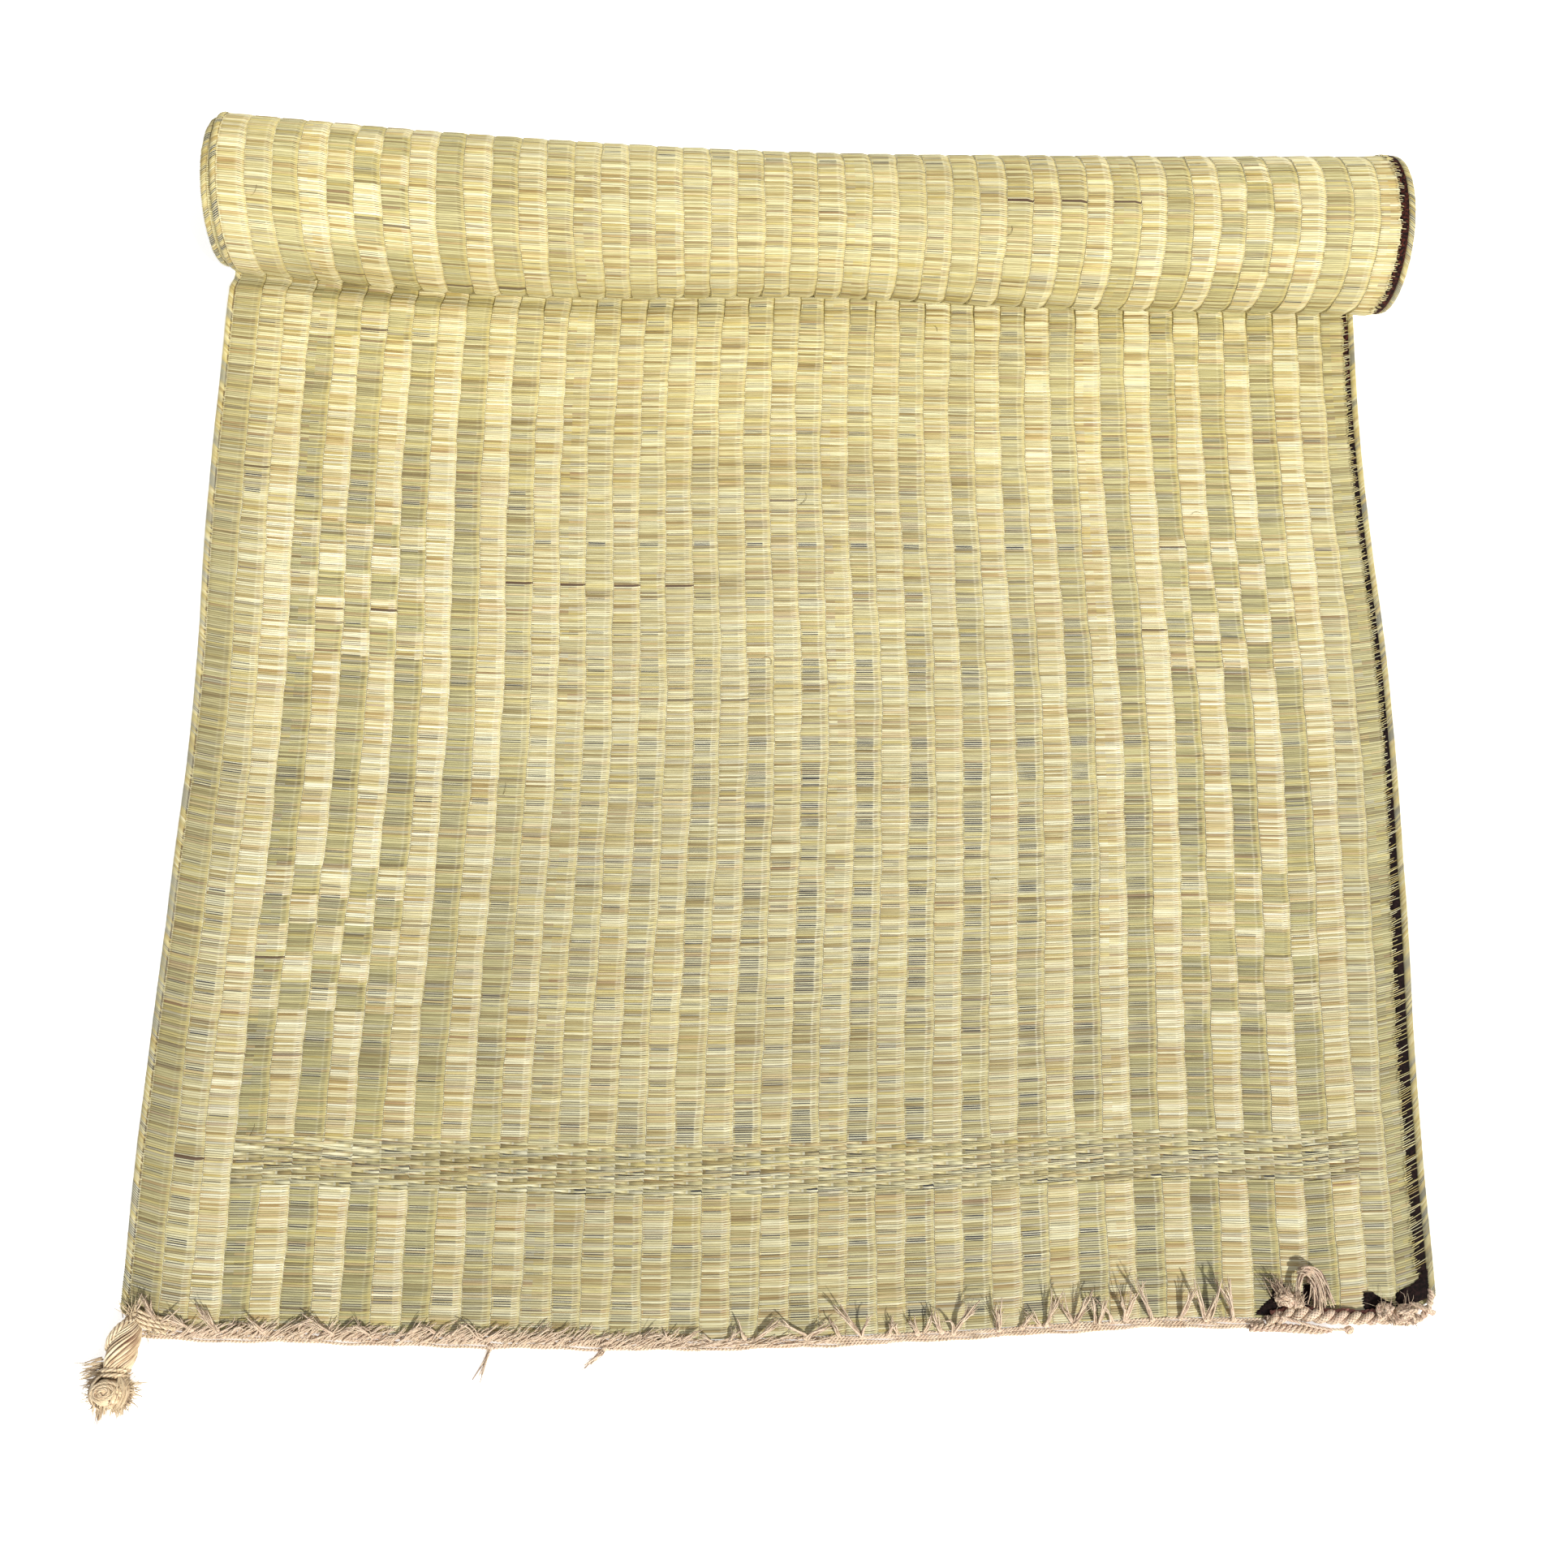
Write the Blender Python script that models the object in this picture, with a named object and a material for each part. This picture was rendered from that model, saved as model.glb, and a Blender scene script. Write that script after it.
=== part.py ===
"""A woven grass mat, partly rolled up.

The sheet lies flat in front and is wound into a loose roll at its far end, top face inwards.
Jute cords bind the front edge, with the cut ends of the warp strings standing from them.
X runs along the reeds, Y from the front edge to the roll, and Z up from the floor.
"""
import math
import random
from typing import NamedTuple

import bmesh
import bpy
import numpy as np
from mathutils import Vector

# The sheet
WIDTH = 1.200
THICKNESS = 0.0028
SELVEDGE_WIDTH = 0.008
SELVEDGE_THICKNESS = 0.0042
SELVEDGE_SIDE = 0.55
SELVEDGE_OUTER_STEP = 0.0016
SELVEDGE_INNER_STEP = 0.0022
COLUMN_STEPS = 12
EDGE_LIFT = 0.0022
EDGE_LIFT_WAVE = 0.31
EDGE_LIFT_REACH = 0.09
EDGE_LIFT_OFFSET = 0.8
EDGE_LIFT_END = 0.96
EDGE_LIFT_FADE = 0.15

# The roll
TURNS = 2.2
TURN_PITCH = 0.0048
STEPS_PER_TURN = 24
HUMP_PEAK = 0.072
HUMP_FRONT = 0.22
HUMP_BACK = 0.048
HUMP_SWEEP = 1.5

# The bound front edge
GAP = 0.0004
CORD_HEIGHT = 0.0034
BINDING_START_X = -0.5808
BINDING_END_X = 0.4400
LONGEST_PLAIN_RUN = 0.03
STRAND_WIDTH = 0.0022
STRAND_SPREAD = 0.0030
STRAND_INSET = 0.00018
STRAND_SHARE = 0.66
STRAND_TAPER = 0.45
STRAND_CLEARANCE = 0.0010

# The knots
KNOT_FLATNESS = 0.82
KNOT_STRANDS = 10
KNOT_STRAND_WIDTH = 0.0020

# The rope at the right corner
ROPE_LOBES = 2
ROPE_TWIST_LENGTH = 0.026
ROPE_STEP = 0.0026
ROPE_GROOVE = 0.34

# The rope end at the left corner
TAIL_LOBES = 4
TAIL_TWIST_LENGTH = 0.075
TAIL_STEP = 0.0052
TAIL_GROOVE = 0.16
TAIL_NECK_Y = -0.0665
TAIL_TUFT_Y = -0.078
TAIL_SIDE_Y = -0.074
TAIL_SIDE_X = -0.608
TAIL_LOWEST_ROOT = 0.006
TAIL_STRAND_LENGTH = 0.013
TAIL_SIDE_LENGTH = 0.016
TAIL_STRAND_WIDTH = 0.0030
TAIL_STRAND_INSET = 0.0003
TAIL_MIDDLE_X = -0.5985
TAIL_MIDDLE_Z = 0.013
FLOOR_CLEARANCE = 0.0014

STRAW = (0.655, 0.570, 0.312, 1.0)
JUTE = (0.680, 0.535, 0.345, 1.0)

# How far the flat part's section lines stand before the roll's axis: first shares of the free
# length, from the front edge on, and then fixed distances.
FLAT_SHARES = (1.0, 0.975, 0.94, 0.85, 0.75, 0.65, 0.55, 0.45, 0.35, 0.25, 0.15, 0.07)
NEAR_DISTANCES = (0.30, 0.22, 0.17, 0.13, 0.105, 0.088, 0.078, 0.070, 0.062, 0.055, 0.048,
                  0.035, 0.018)

# The binding's section: shares of its depth, and of its height, from its back edge on the floor.
BINDING_OUTLINE = ((0.07, 0.0), (0.0, 0.5), (0.10, 1.0), (0.30, 1.0), (0.40, 0.66),
                   (0.56, 1.0), (0.70, 0.66), (0.86, 1.0), (1.0, 0.5), (0.93, 0.0))
BACK_CORD_TOP = 2
FRONT_CORD_TOP = 7


class RollSection(NamedTuple):
    """The roll's circle at one place along it."""
    x: float
    axis_y: float
    radius: float


class FrontPoint(NamedTuple):
    """Where the last reed and the outer side of the binding lie at one place along the front edge."""
    x: float
    reed_y: float
    cord_y: float


class Shift(NamedTuple):
    """How far the sheet lies to the right, at a distance or after a number of turns."""
    at: float
    shift: float


class Hump(NamedTuple):
    """How high the sheet rises just in front of the roll."""
    x: float
    height: float


class WarpEnd(NamedTuple):
    """The cut end of a warp string: its root, how far its tip goes right, back and up, and its strands."""
    x: float
    lean: float
    reach: float
    rise: float
    strands: int


class RopePoint(NamedTuple):
    """A point on a rope's middle line, with the rope's radius there."""
    x: float
    y: float
    z: float
    radius: float


class RoutePlace(NamedTuple):
    """A point on a rope's middle line, with its distance along that line."""
    along: float
    x: float
    y: float
    z: float
    radius: float


class Knot(NamedTuple):
    """A knot of frayed jute: its middle, radius, the way its ends point, and their length."""
    x: float
    y: float
    z: float
    radius: float
    toward: tuple
    ends: float


ROLL = (
    RollSection(x=-0.60, axis_y=1.107, radius=0.0805),
    RollSection(x=-0.38, axis_y=1.086, radius=0.0810),
    RollSection(x=-0.22, axis_y=1.079, radius=0.0790),
    RollSection(x=0.00, axis_y=1.080, radius=0.0737),
    RollSection(x=0.26, axis_y=1.072, radius=0.0774),
    RollSection(x=0.60, axis_y=1.070, radius=0.0800),
)

FRONT = (
    FrontPoint(x=-0.600, reed_y=-0.0100, cord_y=-0.0300),
    FrontPoint(x=-0.576, reed_y=-0.0175, cord_y=-0.0325),
    FrontPoint(x=-0.440, reed_y=-0.0240, cord_y=-0.0350),
    FrontPoint(x=-0.267, reed_y=-0.0270, cord_y=-0.0378),
    FrontPoint(x=-0.046, reed_y=-0.0273, cord_y=-0.0365),
    FrontPoint(x=0.064, reed_y=-0.0226, cord_y=-0.0315),
    FrontPoint(x=0.175, reed_y=-0.0165, cord_y=-0.0242),
    FrontPoint(x=0.286, reed_y=-0.0080, cord_y=-0.0165),
    FrontPoint(x=0.352, reed_y=-0.0042, cord_y=-0.0124),
    FrontPoint(x=0.440, reed_y=-0.0036, cord_y=-0.0140),
    FrontPoint(x=0.485, reed_y=-0.0046, cord_y=-0.0160),
    FrontPoint(x=0.530, reed_y=-0.0002, cord_y=-0.0112),
    FrontPoint(x=0.574, reed_y=0.0036, cord_y=-0.0070),
    FrontPoint(x=0.600, reed_y=0.0150, cord_y=0.0000),
)

SWAY = (
    Shift(at=-0.03, shift=-0.0030),
    Shift(at=0.18, shift=-0.0030),
    Shift(at=0.55, shift=0.0042),
    Shift(at=0.91, shift=-0.0044),
    Shift(at=1.06, shift=0.0000),
)

DRIFT = (
    Shift(at=0.0, shift=0.0000),
    Shift(at=0.5, shift=0.0160),
    Shift(at=1.0, shift=0.0110),
    Shift(at=1.5, shift=0.0060),
    Shift(at=2.2, shift=0.0010),
)

HUMPS = (
    Hump(x=-0.60, height=0.0110),
    Hump(x=-0.40, height=0.0120),
    Hump(x=-0.15, height=0.0060),
    Hump(x=0.15, height=0.0015),
    Hump(x=0.60, height=0.0000),
)

WARP_ENDS = (
    WarpEnd(x=-0.566, lean=-0.013, reach=0.022, rise=0.008, strands=4),
    WarpEnd(x=-0.536, lean=-0.020, reach=0.015, rise=0.005, strands=2),
    WarpEnd(x=-0.512, lean=-0.016, reach=0.020, rise=0.008, strands=4),
    WarpEnd(x=-0.470, lean=-0.015, reach=0.011, rise=0.005, strands=3),
    WarpEnd(x=-0.438, lean=0.012, reach=0.013, rise=0.004, strands=2),
    WarpEnd(x=-0.407, lean=-0.022, reach=0.012, rise=0.006, strands=4),
    WarpEnd(x=-0.372, lean=-0.014, reach=0.010, rise=0.005, strands=3),
    WarpEnd(x=-0.340, lean=0.014, reach=0.010, rise=0.004, strands=2),
    WarpEnd(x=-0.300, lean=0.014, reach=0.009, rise=0.004, strands=2),
    WarpEnd(x=-0.264, lean=-0.008, reach=-0.026, rise=0.000, strands=3),
    WarpEnd(x=-0.225, lean=0.014, reach=0.008, rise=0.004, strands=2),
    WarpEnd(x=-0.160, lean=-0.018, reach=-0.016, rise=0.000, strands=2),
    WarpEnd(x=-0.128, lean=0.015, reach=0.008, rise=0.004, strands=2),
    WarpEnd(x=-0.090, lean=0.015, reach=0.008, rise=0.004, strands=2),
    WarpEnd(x=-0.048, lean=0.010, reach=0.011, rise=0.005, strands=3),
    WarpEnd(x=-0.026, lean=0.024, reach=0.016, rise=0.007, strands=4),
    WarpEnd(x=0.022, lean=0.020, reach=0.013, rise=0.005, strands=3),
    WarpEnd(x=0.073, lean=-0.024, reach=0.026, rise=0.014, strands=4),
    WarpEnd(x=0.097, lean=0.004, reach=0.012, rise=0.007, strands=2),
    WarpEnd(x=0.123, lean=-0.006, reach=0.012, rise=0.007, strands=2),
    WarpEnd(x=0.145, lean=-0.008, reach=0.017, rise=0.010, strands=2),
    WarpEnd(x=0.156, lean=0.018, reach=0.024, rise=0.014, strands=4),
    WarpEnd(x=0.197, lean=-0.002, reach=0.019, rise=0.009, strands=3),
    WarpEnd(x=0.218, lean=0.010, reach=0.013, rise=0.006, strands=2),
    WarpEnd(x=0.240, lean=0.012, reach=0.026, rise=0.012, strands=3),
    WarpEnd(x=0.266, lean=0.012, reach=0.024, rise=0.012, strands=3),
    WarpEnd(x=0.288, lean=0.007, reach=0.020, rise=0.010, strands=2),
    WarpEnd(x=0.314, lean=-0.006, reach=0.021, rise=0.010, strands=2),
    WarpEnd(x=0.337, lean=-0.014, reach=0.031, rise=0.016, strands=4),
    WarpEnd(x=0.363, lean=0.012, reach=0.027, rise=0.012, strands=3),
    WarpEnd(x=0.386, lean=0.008, reach=0.021, rise=0.010, strands=2),
    WarpEnd(x=0.411, lean=-0.010, reach=0.032, rise=0.016, strands=4),
)

CORNER_ROPE = (
    RopePoint(x=BINDING_END_X + GAP, y=-0.0098, z=0.0046, radius=0.0038),
    RopePoint(x=0.4650, y=-0.0106, z=0.0052, radius=0.0050),
    RopePoint(x=0.4950, y=-0.0106, z=0.0054, radius=0.0052),
    RopePoint(x=0.5300, y=-0.0064, z=0.0052, radius=0.0050),
    RopePoint(x=0.5600, y=-0.0044, z=0.0052, radius=0.0050),
    RopePoint(x=0.5860, y=0.0006, z=0.0050, radius=0.0046),
)

CORNER_KNOTS = (
    Knot(x=0.4570, y=-0.0045, z=0.0100, radius=0.0072, toward=(-0.5, 0.9, 0.4), ends=0.009),
    Knot(x=0.4800, y=-0.0025, z=0.0120, radius=0.0088, toward=(0.2, 1.0, 0.3), ends=0.018),
    Knot(x=0.5450, y=0.0010, z=0.0095, radius=0.0060, toward=(-0.3, 1.0, 0.5), ends=0.005),
    Knot(x=0.5680, y=0.0005, z=0.0100, radius=0.0066, toward=(0.1, 1.0, 0.6), ends=0.003),
)

TAIL = (
    RopePoint(x=-0.5865, y=-0.0095, z=0.0061, radius=0.0028),
    RopePoint(x=-0.5872, y=-0.0150, z=0.0088, radius=0.0054),
    RopePoint(x=-0.5885, y=-0.0215, z=0.0112, radius=0.0092),
    RopePoint(x=-0.5905, y=-0.0300, z=0.0130, radius=0.0128),
    RopePoint(x=-0.5940, y=-0.0410, z=0.0150, radius=0.0148),
    RopePoint(x=-0.5975, y=-0.0510, z=0.0150, radius=0.0136),
    RopePoint(x=-0.5995, y=-0.0590, z=0.0145, radius=0.0108),
    RopePoint(x=-0.6000, y=-0.0640, z=0.0145, radius=0.0106),
    RopePoint(x=-0.6000, y=-0.0690, z=0.0160, radius=0.0150),
    RopePoint(x=-0.5995, y=-0.0760, z=0.0170, radius=0.0166),
    RopePoint(x=-0.5990, y=-0.0830, z=0.0160, radius=0.0150),
    RopePoint(x=-0.5985, y=-0.0880, z=0.0140, radius=0.0112),
)


def column(rows, name):
    """Return one named column of a table as an array."""
    return np.array([getattr(row, name) for row in rows])


def look_up(value, rows, key, name):
    """Read a table's column between its rows, on a smooth curve."""
    places, values = column(rows, key), column(rows, name)
    value = min(max(value, places[0]), places[-1])
    row = int(np.clip(np.searchsorted(places, value) - 1, 0, len(places) - 2))
    span = places[row + 1] - places[row]
    slopes = np.gradient(values, places)
    t = (value - places[row]) / span
    start = (1 + 2 * t) * (1 - t) ** 2 * values[row] + t * (1 - t) ** 2 * slopes[row] * span
    end = t * t * (3 - 2 * t) * values[row + 1] - t * t * (1 - t) * slopes[row + 1] * span
    return float(start + end)


def smooth(t):
    """Ease from 0 to 1."""
    t = min(max(t, 0.0), 1.0)
    return t * t * (3 - 2 * t)


def material(name, colour, roughness):
    """Make a plain cloth material."""
    made = bpy.data.materials.new(name)
    made.use_nodes = True
    shader = made.node_tree.nodes["Principled BSDF"]
    shader.inputs["Base Color"].default_value = colour
    shader.inputs["Roughness"].default_value = roughness
    shader.inputs["Metallic"].default_value = 0.0
    return made


def add_object(name, bm, finish):
    """Close a bmesh into an object with its normals outwards."""
    bmesh.ops.recalc_face_normals(bm, faces=bm.faces)
    if bm.calc_volume(signed=True) < 0:
        bmesh.ops.reverse_faces(bm, faces=bm.faces)
    mesh = bpy.data.meshes.new(name)
    bm.to_mesh(mesh)
    bm.free()
    mesh.materials.append(finish)
    mesh.shade_smooth()
    mesh.set_sharp_from_angle(angle=math.radians(50))
    made = bpy.data.objects.new(name, mesh)
    bpy.context.scene.collection.objects.link(made)
    return made


# The sheet

def sheet_columns():
    """Return the places across the sheet where its section is drawn, closer together at the selvedges."""
    half = WIDTH / 2
    seam = half - SELVEDGE_WIDTH
    rim = [half, half - SELVEDGE_OUTER_STEP, seam + SELVEDGE_INNER_STEP, seam]
    inside = np.linspace(-rim[-1], rim[-1], COLUMN_STEPS + 1)[1:-1]
    return [-x for x in rim] + [float(x) for x in inside] + rim[::-1]


def thickness_at(across):
    """Return the sheet's thickness: the selvedges are fuller, with a rounded outer side."""
    inward = WIDTH / 2 - abs(across)
    if inward >= SELVEDGE_WIDTH - 1e-6:
        return THICKNESS
    if inward < 1e-6:
        return SELVEDGE_SIDE * SELVEDGE_THICKNESS
    return SELVEDGE_THICKNESS


def sheet_stations():
    """Return the stations along the sheet: distances before the roll's axis line, then turns around it.

    A flat station is ("flat", share of the free length, fixed distance), and a wound one ("turn", turns).
    """
    flat = [("flat", share, NEAR_DISTANCES[0]) for share in FLAT_SHARES]
    near = [("flat", 0.0, distance) for distance in NEAR_DISTANCES]
    count = round(TURNS * STEPS_PER_TURN)
    return flat + near + [("turn", step * TURNS / count, 0.0) for step in range(count + 1)]


def hump_height(across, before_axis):
    """Return how high the sheet lies off the floor in front of the roll."""
    height = look_up(across, HUMPS, "x", "height")
    if before_axis > HUMP_PEAK:
        return height * smooth((HUMP_FRONT - before_axis) / (HUMP_FRONT - HUMP_PEAK)) ** HUMP_SWEEP
    return height * smooth((before_axis - HUMP_BACK) / (HUMP_PEAK - HUMP_BACK))


def edge_lift(across, along):
    """Return how far the sheet's side edges wave off the floor."""
    near_edge = smooth((abs(across) - WIDTH / 2 + EDGE_LIFT_REACH) / EDGE_LIFT_REACH)
    side = math.copysign(EDGE_LIFT_OFFSET, across)
    wave = max(0.0, math.sin(2 * math.pi * along / EDGE_LIFT_WAVE + side))
    before_roll = smooth((EDGE_LIFT_END - along) / EDGE_LIFT_FADE)
    return EDGE_LIFT * near_edge * wave * before_roll


def sheet_point(across, station, inner):
    """Return a point on the sheet's under or outer face, or on its top or inner face."""
    kind, share, distance = station
    axis_y = look_up(across, ROLL, "x", "axis_y")
    radius = look_up(across, ROLL, "x", "radius")
    depth = thickness_at(across) if inner else 0.0
    if kind == "flat":
        free = axis_y - look_up(across, FRONT, "x", "reed_y") - distance
        before_axis = distance + share * free
        y = axis_y - before_axis
        z = hump_height(across, before_axis) + edge_lift(across, y) + depth
        return Vector((across + look_up(y, SWAY, "at", "shift"), y, z))
    angle = 2 * math.pi * share
    arm = radius - TURN_PITCH * share - depth
    x = across + look_up(share, DRIFT, "at", "shift")
    return Vector((x, axis_y + arm * math.sin(angle), radius - arm * math.cos(angle)))


def build_sheet():
    """Make the whole mat, flat part and roll, as one closed sheet."""
    columns, stations = sheet_columns(), sheet_stations()
    last_column, last_station = len(columns) - 1, len(stations) - 1
    bm = bmesh.new()
    bmesh.ops.create_grid(bm, x_segments=last_column, y_segments=last_station, size=0.5)
    under = set(bm.verts)
    bmesh.ops.extrude_face_region(bm, geom=bm.faces[:])
    for vert in bm.verts:
        across = columns[round((vert.co.x + 0.5) * last_column)]
        station = stations[round((vert.co.y + 0.5) * last_station)]
        vert.co = sheet_point(across, station, vert not in under)
    return add_object("mat", bm, material("woven_sedge", STRAW, 0.75))


# Cords and ropes

def loft(rings):
    """Join a list of rings of points into one closed skin, with its ends filled."""
    bm = bmesh.new()
    first = [bm.verts.new(point) for point in rings[0]]
    loops = [first]
    for points in rings[1:]:
        loops.append([bm.verts.new(point) for point in points])
    for lower, upper in zip(loops, loops[1:]):
        for k in range(len(lower)):
            after = (k + 1) % len(lower)
            bm.faces.new((lower[k], lower[after], upper[after], upper[k]))
    bm.faces.new(loops[0][::-1])
    bm.faces.new(loops[-1])
    bmesh.ops.recalc_face_normals(bm, faces=bm.faces)
    return bm


def rope_rings(route, lobes, twist_length, step, depth):
    """Return the rings of a rope whose strands twist around its middle line.

    Each strand is one ridge, raised by a share of the rope's radius.
    """
    places = []
    length = 0.0
    for k, p in enumerate(route):
        if k:
            length += (Vector(p[:3]) - Vector(route[k - 1][:3])).length
        places.append(RoutePlace(along=length, x=p.x, y=p.y, z=p.z, radius=p.radius))

    def middle(distance):
        """Return the point of the rope's middle line at a distance along it."""
        distance = min(max(distance, 0.0), length)
        return Vector([look_up(distance, places, "along", name) for name in ("x", "y", "z")])

    count = max(4, math.ceil(length / step))
    sides = lobes * 4
    rings = []
    for k in range(count + 1):
        distance = length * k / count
        here = middle(distance)
        forward = (middle(distance + 0.001) - middle(distance - 0.001)).normalized()
        level = forward.cross(Vector((0, 0, 1))).normalized()
        upward = level.cross(forward)
        radius = look_up(distance, places, "along", "radius")
        ring = []
        for side in range(sides):
            angle = 2 * math.pi * side / sides
            turn = angle + 2 * math.pi * distance / twist_length
            lift = radius * (1 - depth * (0.5 - 0.5 * math.cos(lobes * angle)))
            ring.append(here + (level * math.cos(turn) + upward * math.sin(turn)) * lift)
        rings.append(ring)
    return rings


def grow_strand(bm, face, path, width, taper):
    """Extrude one face along a path, as a strand with square or three-cornered sections."""
    centre = face.calc_center_median()
    turned = [vert.co - centre for vert in face.verts]
    size = max(corner.length for corner in turned)
    normal = face.normal.copy()
    for k, point in enumerate(path):
        before = path[k - 1] if k else centre
        forward = (point - before).normalized()
        if k + 1 < len(path):
            forward = (forward + (path[k + 1] - point).normalized()).normalized()
        swing = normal.rotation_difference(forward)
        scale = width * (1 - taper * (k + 1) / len(path)) / (size * math.sqrt(2))
        made = bmesh.ops.extrude_discrete_faces(bm, faces=[face])
        face = made["faces"][0]
        for vert, corner in zip(face.verts, turned):
            vert.co = point + (swing @ corner) * scale


# The binding along the front edge

def front_edge(x):
    """Return where the sheet's front edge lies, as its section lines draw it."""
    first = sheet_stations()[0]
    corners = [sheet_point(across, first, False) for across in sheet_columns()]
    return float(np.interp(x, [corner.x for corner in corners], [corner.y for corner in corners]))


def binding_section(x):
    """Return the binding's section at one place: cords laid side by side, level on the floor."""
    inner = front_edge(x) - GAP
    depth = look_up(x, FRONT, "x", "cord_y") - inner
    return [Vector((x, inner + depth * back, CORD_HEIGHT * up)) for back, up in BINDING_OUTLINE]


def build_binding():
    """Make the binding with the warp ends rooted in it."""
    spots = {BINDING_START_X, BINDING_END_X}
    for end in WARP_ENDS:
        first = end.x - STRAND_WIDTH * end.strands / 2
        spots.update(round(first + STRAND_WIDTH * k, 6) for k in range(end.strands + 1))
    ordered = sorted(spots)
    spots.update((a + b) / 2 for a, b in zip(ordered, ordered[1:]) if b - a > LONGEST_PLAIN_RUN)
    bm = loft([binding_section(x) for x in sorted(spots)])
    rng = random.Random(7)
    roots = []
    for end in WARP_ENDS:
        first = end.x - STRAND_WIDTH * end.strands / 2
        for k in range(end.strands):
            middle = first + STRAND_WIDTH * (k + 0.5)
            spread = (k - (end.strands - 1) / 2) * STRAND_SPREAD
            roots.append((end, middle, spread, root_face(bm, middle, end.reach > 0)))
    for end, middle, spread, face in roots:
        bmesh.ops.inset_individual(bm, faces=[face], thickness=STRAND_INSET, depth=0.0)
        bm.normal_update()
        path = strand_path(face, end, spread, rng.uniform(0.88, 1.08))
        grow_strand(bm, face, path, STRAND_WIDTH * STRAND_SHARE, STRAND_TAPER)
    return add_object("edge_binding", bm, material("jute_cord", JUTE, 0.85))


def root_face(bm, x, behind):
    """Find the face on top of the back or front cord from which a strand grows."""
    wanted = BACK_CORD_TOP if behind else FRONT_CORD_TOP
    outline = binding_section(x)
    target = (outline[wanted] + outline[wanted + 1]) / 2
    return min(bm.faces, key=lambda face: (face.calc_center_median() - target).length)


def strand_path(face, end, spread, length):
    """Return the points that a warp end's strand follows from its root.

    A strand that reaches back rises over the mat, and one that hangs in front rests on the floor.
    """
    root = face.calc_center_median()
    if end.reach < 0:
        low = STRAND_WIDTH * 0.36
        bend = (end.lean * 0.15 + spread * 0.2, end.reach * 0.14, -0.0002)
        heights = (low, low)
    else:
        low = CORD_HEIGHT + STRAND_CLEARANCE
        bend = (end.lean * 0.10 + spread * 0.15, end.reach * 0.08, 0.0016)
        heights = (low + end.rise * 0.75, low + end.rise)
    half_way = (root.x + end.lean * 0.5 + spread * 0.55, root.y + end.reach * 0.5, heights[0])
    tip = (root.x + end.lean * length + spread, root.y + end.reach * length, heights[1])
    return [root + Vector(bend), Vector(half_way), Vector(tip)]


# The corners

def build_knot(knot, seed):
    """Make a frayed knot: a lumpy ball with its cut ends standing from one side."""
    bm = bmesh.new()
    bmesh.ops.create_icosphere(bm, subdivisions=2, radius=knot.radius)
    rng = random.Random(seed)
    for vert in bm.verts:
        vert.co *= rng.uniform(0.88, 1.06)
        vert.co.z *= KNOT_FLATNESS
    toward = Vector(knot.toward).normalized()
    bm.normal_update()
    facing = sorted(bm.faces, key=lambda face: -face.normal.dot(toward))[:KNOT_STRANDS]
    for face in facing:
        centre = face.calc_center_median()
        way = (centre.normalized() * 0.55 + toward * 0.75).normalized()
        length = knot.ends * rng.uniform(0.75, 1.1)
        path = [centre + way * length * 0.5, centre + way * length]
        grow_strand(bm, face, path, KNOT_STRAND_WIDTH, 0.3)
    bmesh.ops.translate(bm, verts=bm.verts, vec=(knot.x, knot.y, knot.z))
    return bm


def build_corner_rope():
    """Make the twisted rope at the right corner, with its frayed knots joined on."""
    rings = rope_rings(CORNER_ROPE, ROPE_LOBES, ROPE_TWIST_LENGTH, ROPE_STEP, ROPE_GROOVE)
    finish = material("jute_rope", JUTE, 0.85)
    rope = add_object("corner_rope", loft(rings), finish)
    for number, knot in enumerate(CORNER_KNOTS):
        piece = add_object(f"knot_shape_{number}", build_knot(knot, 20 + number), finish)
        piece.hide_render = True
        piece.display_type = "WIRE"
        join = rope.modifiers.new(f"knot_{number}", "BOOLEAN")
        join.operation = "UNION"
        join.solver = "EXACT"
        join.object = piece
    return rope


def build_tail():
    """Make the rope end at the left corner: a twisted stub, a tight neck and a frayed knot."""
    bm = loft(rope_rings(TAIL, TAIL_LOBES, TAIL_TWIST_LENGTH, TAIL_STEP, TAIL_GROOVE))
    bm.normal_update()
    rng = random.Random(3)
    chosen = []
    for face in bm.faces:
        centre = face.calc_center_median()
        if len(face.verts) == 4 and centre.y <= TAIL_NECK_Y and centre.z >= TAIL_LOWEST_ROOT:
            chosen.append((face, centre))
    chosen.sort(key=lambda item: (round(item[1].y, 4), item[1].x))
    for number, (face, centre) in enumerate(chosen):
        left = centre.x < TAIL_SIDE_X and centre.y > TAIL_SIDE_Y
        if left:
            way = Vector((-1.0, -0.12 + rng.uniform(-0.15, 0.15), -0.25))
            length = TAIL_SIDE_LENGTH * rng.uniform(0.8, 1.0)
        elif number % 2 == 0 and centre.y <= TAIL_TUFT_Y:
            outward = (centre - Vector((TAIL_MIDDLE_X, centre.y, TAIL_MIDDLE_Z))).normalized()
            way = outward * 0.45 + Vector((rng.uniform(-0.1, 0.1), -1.0, -0.1))
            length = TAIL_STRAND_LENGTH * rng.uniform(0.7, 1.0)
        else:
            continue
        end = centre + way.normalized() * length
        end.z = max(end.z, FLOOR_CLEARANCE)
        bmesh.ops.inset_individual(bm, faces=[face], thickness=TAIL_STRAND_INSET, depth=0.0)
        grow_strand(bm, face, [centre.lerp(end, 0.35), end], TAIL_STRAND_WIDTH, 0.25)
    return add_object("corner_tail", bm, material("jute_tail", JUTE, 0.85))


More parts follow.
